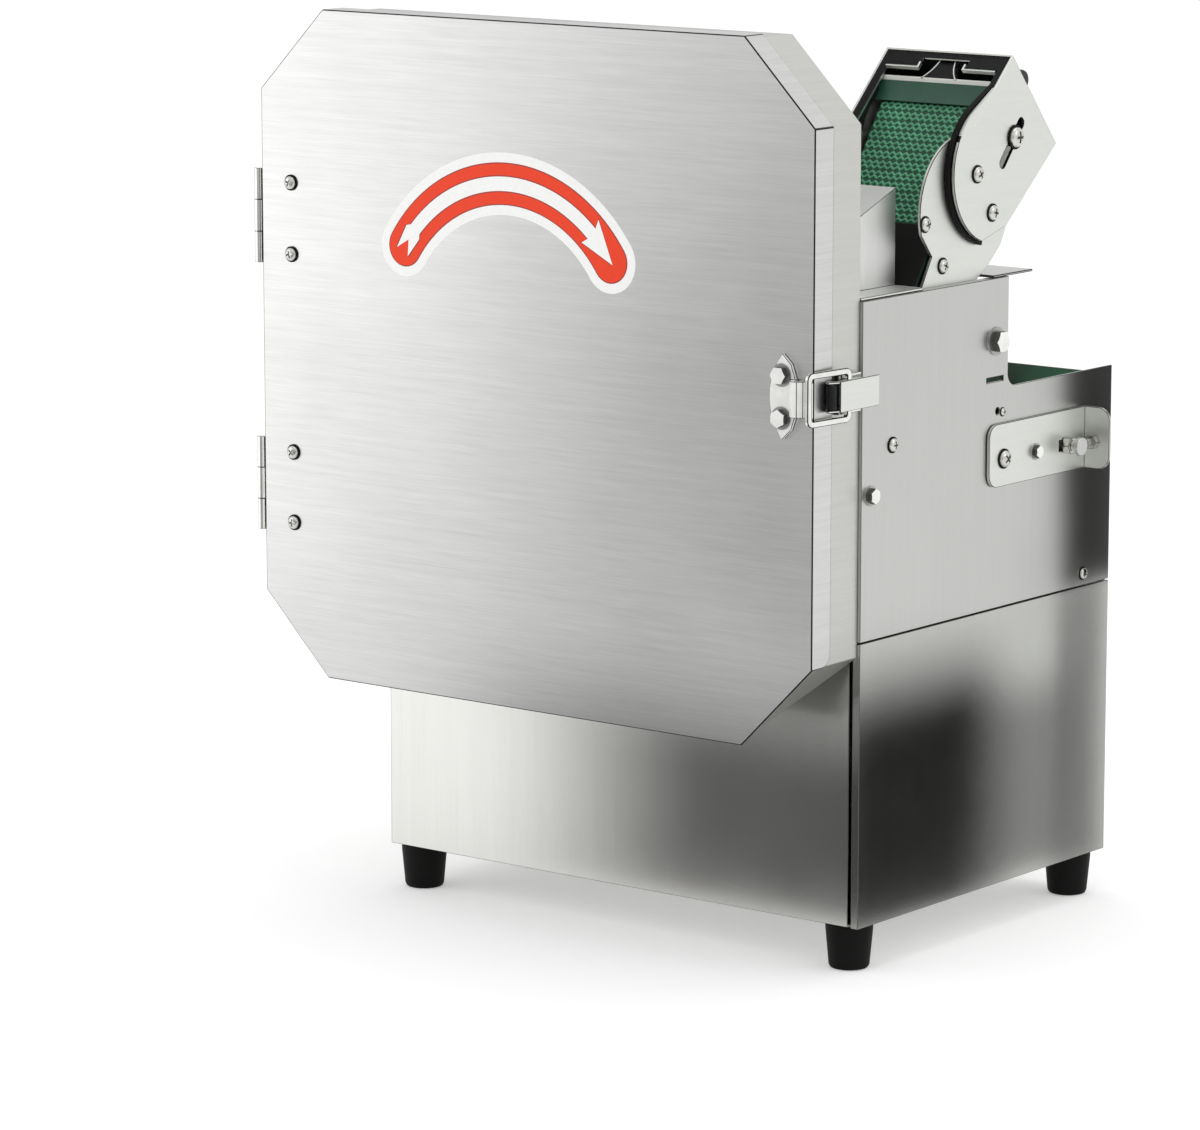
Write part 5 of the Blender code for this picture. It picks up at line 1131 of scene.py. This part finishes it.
@dataclass
class FastenerSet:
    """Every screw and bolt head, one mesh for each body and kind."""

    shop: Workshop

    def host(self, group: list[Fastener]) -> bpy.types.Object:
        """Makes an object of the heads' places, with each head's radius and axis as attributes."""
        host = host_of("head_places", [self.shop.at(*fastener.seat) for fastener in group], [])
        radius = host.data.attributes.new("head_radius", "FLOAT", "POINT")
        axis = host.data.attributes.new("head_axis", "FLOAT_VECTOR", "POINT")
        for number, fastener in enumerate(group):
            radius.data[number].value = fastener.radius * MM
            facing = [0.0, 0.0, 0.0]
            facing[fastener.axis] = float(fastener.outward)
            axis.data[number].vector = facing
        return host

    def build(self) -> None:
        """Sets the heads on their sheets."""
        shop = self.shop
        for kind, look in HEAD_LOOKS.items():
            tree = head_tree(kind)
            values = {**look.sizes, "Metal": shop.paint(look.metal), "Flank": shop.paint(FORGED_STEEL),
                      "Seal": shop.paint(look.washer)}
            groups: dict[str, list[Fastener]] = {}
            for fastener in FASTENERS:
                if fastener.kind is kind:
                    groups.setdefault(shop.body_of(fastener.node), []).append(fastener)
            for body, group in groups.items():
                mesh = run_tree(self.host(group), tree, values, f"{body}_{kind.value}_heads")
                smooth(mesh, sharp=28.0)
                shop.seat(linked(mesh.name, mesh), group[0].node)


@dataclass
class Belt:
    """One conveyor belt: its smooth base and the braided tread on its outer face."""

    shop: Workshop
    node: str
    first: Point
    first_radius: float
    second: Point
    second_radius: float
    tree: bpy.types.NodeTree
    thickness: float = 2.5
    tread: float = 0.7
    sunk: float = 0.05
    bare_edge: float = 0.8
    braid_pitch: float = 6.6
    cell: float = 4.7
    swing: float = 1.95
    ridge_width: float = 2.2
    pairing: float = -0.5

    def outline(self, inset: float, steps: int = 48) -> list[Point]:
        """Gives the belt's loop, set in from its outer face.

        Args:
            inset: How far inside the outer face it lies.
            steps: The number of chords on each wheel.

        Returns:
            Points of Y and Z, in order round the loop.
        """
        along = Vector(self.second) - Vector(self.first)
        heading = math.degrees(math.atan2(along.y, along.x))
        lean = math.degrees(math.acos((self.first_radius - self.second_radius) / along.length))
        near = arc(self.first, self.first_radius - inset, heading + lean, heading + 360 - lean, steps)
        far = arc(self.second, self.second_radius - inset, heading - lean, heading + lean, steps)
        return near + far

    def build(self) -> None:
        """Makes the base with rounded edges, and the tread round it."""
        shop = self.shop
        low, high = (corner - shop.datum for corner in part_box(self.node))
        left, right = low.x / MM, high.x / MM
        outer = self.outline(self.tread)
        inner = self.outline(self.thickness)
        rings = [[shop.at(x, *flat) for flat in outline]
                 for x, outline in ((left, outer), (right, outer), (right, inner), (left, inner))]
        shop.add(f"{self.node}_base", lofted(rings, closed=True), BELT_BASE, 0.4, self.node, self.node)

        following = outer[1:] + outer[:1]
        length = sum(math.dist(start, end) for start, end in zip(outer, following))
        middle = (left + right) / 2
        edges = [(index, (index + 1) % len(outer)) for index in range(len(outer))]
        host = host_of("belt_loop", [shop.at(middle, *flat) for flat in outer], edges)
        sizes = {"Width": right - left - 2 * self.bare_edge, "Cell": self.cell, "Swing": self.swing,
                 "Ridge Width": self.ridge_width, "Ridge Height": self.tread - self.sunk,
                 "Pairing": self.pairing}
        values = {name: size * MM for name, size in sizes.items()}
        values.update(Rows=2 * round(length / self.braid_pitch), Material=shop.paint(BELT_TOP))
        tread = run_tree(host, self.tree, values, f"{self.node}_tread")
        shop.seat(linked(tread.name, tread), self.node)


@dataclass
class Conveyors:
    """The feed belt, the press belt and everything that turns with them."""

    shop: Workshop
    axle: Point = (253.6, 147.0)
    eye_reach: Point = (412.5, 417.6)
    screw: Point = (418.5, 147.0)
    screw_radius: float = 2.4
    screw_reach: Point = (256.0, 277.0)
    thread_pitch: float = 1.6
    thread_depth: float = 0.45
    nut_radius: float = 4.6
    nuts: tuple[Point, ...] = ((269.9, 273.9), (276.1, 281.1))

    def build_tensioner(self) -> None:
        """Makes the nut on the tail roller's axle, and the threaded screw that pulls it to the flange."""
        shop = self.shop
        inner, outer = self.eye_reach
        shapes = [turned(shop, 0, self.axle, [(5.4, inner), (5.4, outer)], 6),
                  turned(shop, 0, self.axle, [(3.2, outer), (3.2, outer + 1.6), (2.4, outer + 2.4)], 24)]
        start, end = self.screw_reach
        turns = int((end - start) / self.thread_pitch)
        thread = [(self.screw_radius - self.thread_depth * (number % 2),
                   start + number * self.thread_pitch / 2) for number in range(2 * turns + 1)]
        shapes.append(turned(shop, 1, self.screw, thread, 24))
        for low, high in self.nuts:
            shapes.append(turned(shop, 1, self.screw, [(self.nut_radius, low), (self.nut_radius, high)], 6))
        shop.add("tension_stud", merged(shapes), SCREW_STEEL, 0.35, "tension_screw", "tension_screw",
                 edge=CUT_EDGE, angle=55.0)

    def build(self) -> None:
        """Builds both belts, and dresses the rollers, gears and the gear motor."""
        shop = self.shop
        tree = tread_tree()
        Belt(shop, "feed_belt", (95.0, 147.0), 31.0, self.axle, 31.0, tree).build()
        Belt(shop, "press_belt", (118.0, 222.0), 23.0, (197.7, 335.0), 25.2, tree).build()
        for node in ("feed_drive_roller", "feed_tail_roller", "press_drive_roller", "press_tail_roller"):
            low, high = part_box(node)
            steel = TurnedSteel(f"{node}_turned_steel", "#C2C3C0", 0.35, centre=tuple((low + high) / 2),
                                axis=0)
            shop.dress(node, steel, 0.4)
        shop.dress_all(
            ("feed_gear", BARE_STEEL, 0.2),
            ("press_gear", BARE_STEEL, 0.2),
            ("feed_gearmotor", MOTOR_PAINT, 0.8),
            ("tension_bracket", PLATE_STEEL, 0.4, CUT_EDGE),
        )
        self.build_tensioner()


@dataclass
class PressHead:
    """The cheeks and the frame that hold the press belt over the feed.

    Places on the slanted front are given as X, the distance up the slope from the shoulder, and the
    depth behind the front sheet.
    """

    shop: Workshop
    node: str = "press_head_frame"
    shoulder: Point = (155.6, 344.0)
    top: Point = (195.1, 382.6)
    rear: Point = (241.7, 327.9)
    left: float = 321.0
    right: float = 410.0
    brow: float = 13.0
    window: Point = (349.0, 382.0)
    lip: float = 1.2
    rim: float = 1.2
    lobe: Point = (178.0, 317.0)
    catch_run: float = 23.0

    @property
    def slope(self) -> Vector:
        """The direction up the slanted front, in Y and Z."""
        return (Vector(self.top) - Vector(self.shoulder)).normalized()

    @property
    def reach(self) -> float:
        """The length of the slanted front."""
        return math.dist(self.shoulder, self.top)

    def slab(self, outline: list[Point], front: float, back: float) -> bmesh.types.BMesh:
        """Makes a flat solid that lies along the slanted front.

        Args:
            outline: Points of X and distance up the slope.
            front: The depth of its front face.
            back: The depth of its back face.

        Returns:
            A closed bmesh.
        """
        slope = self.slope
        inward = Vector((slope.y, -slope.x))
        return lofted([[self.shop.at(x, *(Vector(self.shoulder) + slope * run + inward * depth))
                        for x, run in outline] for depth in (front, back)])

    def blacken_front(self, piece: bpy.types.Object) -> None:
        """Makes the faces of the frame's slanted front sheet nearly black."""
        mesh = piece.data
        mesh.materials.append(self.shop.paint(BLACKED_STEEL))
        number = len(mesh.materials) - 1
        outward = Vector((0.0, -self.slope.y, self.slope.x))
        for face in mesh.polygons:
            if abs(face.normal.dot(outward)) > 0.95:
                face.material_index = number

    def build_brow(self) -> None:
        """Adds the bright lips under the brow, and the bell-shaped bracket in its window."""
        add, lip = self.shop.add, self.lip
        lip_run = self.reach - self.brow
        start, upturn = self.left + 6, lip_run + 3.5
        lip_left = [(start, lip_run - lip), (self.window[0] + lip, lip_run - lip),
                    (self.window[0] + lip, upturn), (self.window[0], upturn), (self.window[0], lip_run),
                    (start, lip_run)]
        mirror = self.window[0] + self.window[1]
        lip_right = [(mirror - x, run) for x, run in lip_left]
        for name, outline in (("brow_lip_left", lip_left), ("brow_lip_right", lip_right)):
            add(name, self.slab(outline, -1.0, 2.0), PLATE_STEEL, 0.35, self.node)
        middle = mirror / 2
        low, high = self.reach - 19.0, self.reach - 2.5
        steps, neck, flare, curve = 10, 5.0, 6.5, 2.2
        half = [(neck + flare * (1 - step / steps) ** curve, low + (high - low) * step / steps)
                for step in range(steps + 1)]
        bell = [(middle + wide, run) for wide, run in half]
        bell += [(middle - wide, run) for wide, run in reversed(half)]
        add("head_bracket", self.slab(bell, 3.2, 9.0), BLACKED_STEEL, 0.6, self.node)
        for name, side in (("bracket_rim_left", -1), ("bracket_rim_right", 1)):
            rim = [(middle + side * wide, run) for wide, run in half]
            rim += [(middle + side * (wide + 0.9), run) for wide, run in reversed(half)]
            add(name, self.slab(rim, 2.4, 8.0), PLATE_STEEL, 0.2, self.node)

    def build_rim(self) -> None:
        """Adds the bright bent rim round the nearly black front."""
        reach, rim = self.reach, self.rim
        low, high = self.left - 0.1, self.right + 0.1
        outline = [(low, 0.0), (low, reach), (high, reach), (high, 0.0), (high - rim, 0.0),
                   (high - rim, reach - rim), (low + rim, reach - rim), (low + rim, 0.0)]
        self.shop.add("front_rim", self.slab(outline, -0.3, 0.5), PLATE_STEEL, 0.2, self.node)

    def build_inside(self) -> None:
        """Lines the head with black sheet, painted shade inside the head, and hangs the green apron from the
        scraper bar.
        """
        shop = self.shop
        top = Vector(self.top)
        down = (Vector(self.rear) - top).normalized()
        inward = Vector((down.y, -down.x))
        roof = [tuple(top + down * run + inward * depth)
                for run, depth in ((3.5, 2.2), (26.0, 2.2), (26.0, 2.8), (3.5, 2.8))]
        side = [(159.0, 343.6), (193.4, 377.4), (206.5, 362.5), (197.0, 362.2), (186.0, 359.4),
                (176.0, 352.4), (169.0, 343.0), (165.0, 333.0), (158.0, 339.5)]
        apron = [(183.9, 365.0), (183.1, 365.0), (181.6, 358.4), (177.8, 353.6), (178.5, 353.2),
                 (182.4, 358.1)]
        # The liners are painted shade: black sheet for the dark inside of the head.
        shop.add("head_roof_liner", prism(shop, 0, roof, self.left + 2.6, self.right - 2.6), BLACK_PLASTIC,
                 0.1, self.node)
        shop.add("head_side_liner", prism(shop, 0, side, self.left + 2.2, self.left + 2.9), BLACK_PLASTIC,
                 0.1, self.node)
        shop.add("belt_apron", prism(shop, 0, apron, self.left + 3.2, self.right - 3.2), APRON_GREEN, 0.15,
                 "scraper_bar")

    def build_seals(self) -> None:
        """Adds the rubber between lobe and cheek and the curtain before the belt's foot, both painted shade,
        and the catch.
        """
        shop = self.shop
        # The spacer is painted shade: it blackens the shadow gap between the lobe and the cheek.
        spacer = [(173.0, 360.0), (177.8, 366.2)]
        spacer += arc(self.lobe, 43.8, 120, 258, 28) + arc(self.lobe, 34.0, 258, 125, 24)
        shop.add("lobe_spacer", prism(shop, 0, spacer, 404.4, 407.6), BLACK_RUBBER, 0.4, self.node)
        web = [(177.0, 365.0)] + arc(self.lobe, 42.0, 120, 147, 6)
        web += [(144.2, 340.4), (156.0, 343.2), (177.6, 364.4)]
        shop.add("lobe_web", prism(shop, 0, web, 408.0, 410.04), PLATE_STEEL, 0.0, self.node)
        # The curtain is painted shade: it blackens the belt's foot, which lies in shadow between hood and
        # head.
        curtain = [(108.2, 254.6), (109.2, 254.6), (132.6, 288.0), (131.4, 288.4)]
        shop.add("belt_curtain", prism(shop, 0, curtain, 326.0, 401.8), BLACK_RUBBER, 0.15, self.node)
        down = (Vector(self.rear) - Vector(self.top)).normalized()
        outward = Vector((-down.y, down.x))
        centre = tuple(Vector(self.top) + down * self.catch_run + outward * 2.6)
        knob = [(3.0, 393.4), (5.6, 394.0), (6.2, 395.2), (6.2, 398.6), (5.2, 399.4), (5.2, 401.0),
                (6.2, 401.8), (6.2, 404.8), (5.6, 406.0), (3.0, 406.4)]
        shop.add("head_catch_knob", turned(shop, 0, centre, knob, 32), BLACK_PLASTIC, 0.2, self.node)

    def build(self) -> None:
        """Dresses the cheeks, the frame and the scraper bar, and adds what sits in and behind them."""
        for cheek in ("press_cheek_left", "press_cheek_right"):
            self.shop.dress(cheek, PLATE_STEEL, 0.35, BLACKED_STEEL)
        self.blacken_front(self.shop.dress(self.node, PLATE_STEEL, 0.35, BLACKED_STEEL))
        self.shop.dress("scraper_bar", WHITE_PLASTIC, 0.3)
        self.build_brow()
        self.build_rim()
        self.build_inside()
        self.build_seals()


@dataclass
class Body:
    """The folded sheets of the body, from the shell to the hood, with the feet."""

    shop: Workshop

    def build(self) -> None:
        """Dresses each sheet with its finish; the lower shell's darker grey is painted shade."""
        shop = self.shop
        # The sheets' darker edge roundings are painted shade along their edges.
        for node in ("right_side_panel", "channel_plate", "drive_cover", "throat_floor", "rear_sill"):
            shop.dress(node, WALL_STEEL, 0.35, CUT_EDGE)
        shop.dress_all(
            ("guard_plate", WALL_STEEL, 0.6, BLACKED_STEEL),
            ("throat_hood", HOOD_STEEL, 0.35, CUT_EDGE),
            ("lower_shell", SHELL_STEEL, 0.35, CUT_EDGE),
            ("front_panel", FRONT_STEEL, 0.35, CUT_EDGE),
            ("deck_plate", INNER_STEEL, 0.3),
            ("base_tray", INNER_STEEL, 0.3),
        )
        for corner in ("front_left", "front_right", "rear_left", "rear_right"):
            shop.dress(f"foot_{corner}", BLACK_RUBBER, 0.6)


@dataclass
class Controls:
    """The buttons, the knob and the gland."""

    shop: Workshop

    def build(self) -> None:
        """Dresses the control plate, its buttons and knob, the switch block and the gland."""
        for node in ("control_plate", "switch_block", "speed_knob", "cable_gland"):
            self.shop.dress(node, BLACK_PLASTIC, 0.4)
        self.shop.dress("start_button", GREEN_BUTTON, 0.5)
        self.shop.dress("stop_button", RED_BUTTON, 0.5)


@dataclass(frozen=True)
class Flag:
    """A studio flag: a card that only mirrors see, with a soft edge all round.

    The azimuth turns the card's face: 0 faces along -Y, 90 along +X. A card of slats is closed only
    along their turn, so that it darkens one view's mirrored rays and few others.
    """

    name: str
    place: Place
    azimuth: float
    width: float
    height: float
    level: float
    soft: float = 0.35
    cover: float = 1.0
    slats: int = 1
    slat_turn: float = 0.0

    def build(self) -> None:
        """Makes the card, hidden from the camera and from all light but mirrored light."""
        shape = bmesh.new()
        low, high = -self.height / 2, self.height / 2
        pitch = self.width / self.slats
        half = pitch * math.cos(self.slat_turn) / 2
        reach = Vector((math.cos(self.slat_turn), math.sin(self.slat_turn))) * half
        for number in range(self.slats):
            middle = pitch * (number + 0.5) - self.width / 2
            corners = ((-1, low), (1, low), (1, high), (-1, high))
            shape.faces.new([shape.verts.new((middle + side * reach.x, side * reach.y, z))
                             for side, z in corners])
        card = linked(self.name, mesh_of(self.name, shape))
        card.location = self.place
        card.rotation_euler = (0.0, 0.0, math.radians(self.azimuth))
        card.visible_camera = False
        card.visible_diffuse = False
        card.visible_shadow = False
        card.data.materials.append(self.material())

    def material(self) -> bpy.types.Material:
        """Makes a plain grey that fades out towards the card's edges."""
        material = bpy.data.materials.new(f"{self.name}_cloth")
        tree = emptied(material)
        place = add_node(tree, "ShaderNodeTexCoord")
        parts = add_node(tree, "ShaderNodeSeparateXYZ", {"Vector": place.outputs["Object"]})
        fades = []
        for axis, half in (("X", self.width / 2), ("Z", self.height / 2)):
            fades.append(add_node(tree, "ShaderNodeMapRange", {
                "Value": sum_of(tree, "ABSOLUTE", parts.outputs[axis]), "From Min": half,
                "From Max": half * (1 - self.soft), "To Min": 0.0, "To Max": 1.0},
                interpolation_type="SMOOTHSTEP").outputs[0])
        cover = sum_of(tree, "MULTIPLY", sum_of(tree, "MULTIPLY", *fades), self.cover)
        grey = add_node(tree, "ShaderNodeEmission", {"Color": WHITE, "Strength": self.level})
        clear = add_node(tree, "ShaderNodeBsdfTransparent")
        mix = add_node(tree, "ShaderNodeMixShader", {0: cover, 1: clear.outputs[0], 2: grey.outputs[0]})
        add_node(tree, "ShaderNodeOutputMaterial", {"Surface": mix.outputs[0]})
        return material


@dataclass(frozen=True)
class Lamp:
    """A soft rectangular lamp that the camera doesn't see. Sizes are in metres, the power in watts."""

    name: str
    place: Place
    target: Place
    width: float
    height: float
    power: float

    def build(self) -> None:
        """Adds the lamp, turned to its target."""
        data = bpy.data.lights.new(self.name, "AREA")
        data.shape = "RECTANGLE"
        data.size = self.width
        data.size_y = self.height
        data.energy = self.power
        lamp = linked(self.name, data)
        lamp.location = self.place
        aim = Vector(self.target) - Vector(self.place)
        lamp.rotation_euler = aim.to_track_quat("-Z", "Y").to_euler()
        lamp.visible_camera = False


@dataclass
class Studio:
    """A pale floor, a pale surround, soft lamps, dark flags for the metal to mirror, and the camera."""

    camera_place: Place = (1.91772, -2.53522, 0.78151)
    camera_turn: Place = (79.671, 0.0, 38.174)
    lens: float = 159.47
    floor_half: float = 30.0
    lamps: tuple[Lamp, ...] = (
        Lamp("front_left_lamp", (-1.1, -1.0, 0.5), (-0.2, -0.15, 0.35), 0.8, 1.1, 2.4),
        Lamp("right_lamp", (1.9, 0.4, 1.3), (0.1, 0.0, 0.25), 1.0, 1.0, 3.0),
        Lamp("top_lamp", (0.1, 0.2, 1.9), (0.0, 0.0, 0.2), 1.2, 1.2, 5.0),
    )
    flags: tuple[Flag, ...] = (
        Flag("door_flag", (-0.13, -0.72, 0.1), -15.0, 0.95, 1.3, 0.37, soft=0.78),
        Flag("front_panel_flag", (0.09, -0.205, 0.04), 0.0, 0.54, 0.3, 0.1, soft=0.75),
        Flag("hood_flag", (-0.77, 0.59, 1.42), 53.9, 1.1, 1.2, 0.1, soft=0.6, cover=0.85),
        Flag("shell_flag", (0.26, 0.03, 0.06), 90.0, 0.25, 0.24, 0.02, soft=0.6, slats=16,
             slat_turn=ACROSS_VIEW),
        Flag("shell_shade", (0.275, 0.08, 0.01), 90.0, 0.38, 0.26, 0.06, soft=0.4, cover=0.6, slats=24,
             slat_turn=ACROSS_VIEW),
        Flag("shell_edge_shade", (0.252, 0.2, 0.085), 90.0, 0.07, 0.3, 0.03, soft=0.5, cover=0.6, slats=6,
             slat_turn=ACROSS_VIEW),
        Flag("rear_flag", (0.2225, 0.171, 0.2765), 90.0, 0.093, 0.187, 0.0, soft=0.11),
        Flag("ceiling_flag", (-0.34, -0.1, 1.12), 90.0, 0.36, 0.42, 0.03, soft=0.4),
        Flag("view_flag", (1.2, -1.6, 0.55), 38.0, 0.9, 1.6, 0.02, soft=0.4),
    )

    def camera(self) -> None:
        """Makes the camera at the photograph's viewing angle."""
        data = bpy.data.cameras.new("camera")
        data.lens = self.lens
        data.sensor_width = 36.0
        data.clip_end = 200.0
        camera = linked("camera", data)
        camera.location = self.camera_place
        camera.rotation_euler = tuple(math.radians(turn) for turn in self.camera_turn)
        bpy.context.scene.camera = camera

    def floor(self) -> None:
        """Makes the floor. The camera and mirrors see it near white, and it keeps the shadow."""
        shape = bmesh.new()
        half, sunk = self.floor_half, -0.3 * MM
        corners = ((-half, -half), (half, -half), (half, half), (-half, half))
        shape.faces.new([shape.verts.new((x, y, sunk)) for x, y in corners])
        floor = linked("floor", mesh_of("floor", shape))
        material = bpy.data.materials.new("matt_white_floor")
        tree = emptied(material)
        matt = add_node(tree, "ShaderNodeBsdfDiffuse", {"Color": (0.8, 0.8, 0.8, 1.0)})
        glow = add_node(tree, "ShaderNodeEmission", {"Color": WHITE, "Strength": 0.3})
        lit = add_node(tree, "ShaderNodeAddShader", {0: matt.outputs[0], 1: glow.outputs[0]})
        mix = add_node(tree, "ShaderNodeMixShader", {0: self.direct_ray(tree), 1: matt.outputs[0],
                                                     2: lit.outputs[0]})
        add_node(tree, "ShaderNodeOutputMaterial", {"Surface": mix.outputs[0]})
        floor.data.materials.append(material)

    def direct_ray(self, tree: bpy.types.NodeTree) -> bpy.types.NodeSocket:
        """Gives 1 for rays of the camera, of mirrors and through glass, else 0."""
        path = add_node(tree, "ShaderNodeLightPath").outputs
        seen = sum_of(tree, "MAXIMUM", path["Is Camera Ray"], path["Is Glossy Ray"])
        return sum_of(tree, "MAXIMUM", seen, path["Is Transmission Ray"])

    def world(self) -> None:
        """Makes the surround: white where it is seen, softer as light."""
        world = bpy.data.worlds.new("pale_surround")
        tree = emptied(world)
        light = add_node(tree, "ShaderNodeBackground", {"Color": WHITE, "Strength": 0.92})
        seen = add_node(tree, "ShaderNodeBackground", {"Color": WHITE, "Strength": 1.0})
        mix = add_node(tree, "ShaderNodeMixShader", {0: self.direct_ray(tree), 1: light.outputs[0],
                                                     2: seen.outputs[0]})
        add_node(tree, "ShaderNodeOutputWorld", {"Surface": mix.outputs[0]})
        bpy.context.scene.world = world

    def build(self) -> None:
        """Sets up the camera, the floor, the surround, the lamps and the flags."""
        bpy.context.scene.view_settings.view_transform = "Standard"
        self.camera()
        self.floor()
        self.world()
        for item in self.lamps + self.flags:
            item.build()


def main() -> None:
    """Builds every sub-assembly, then the studio."""
    logging.basicConfig(level=logging.INFO, format="%(name)s: %(message)s")
    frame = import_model()
    shop = Workshop(frame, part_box("door_panel")[0])
    for kind in (Door, Latch, Cutter, Conveyors, PressHead, Body, Controls, FastenerSet):
        LOG.info("building %s", kind.__name__)
        kind(shop).build()
    Studio().build()


if __name__ == "__main__":
    main()
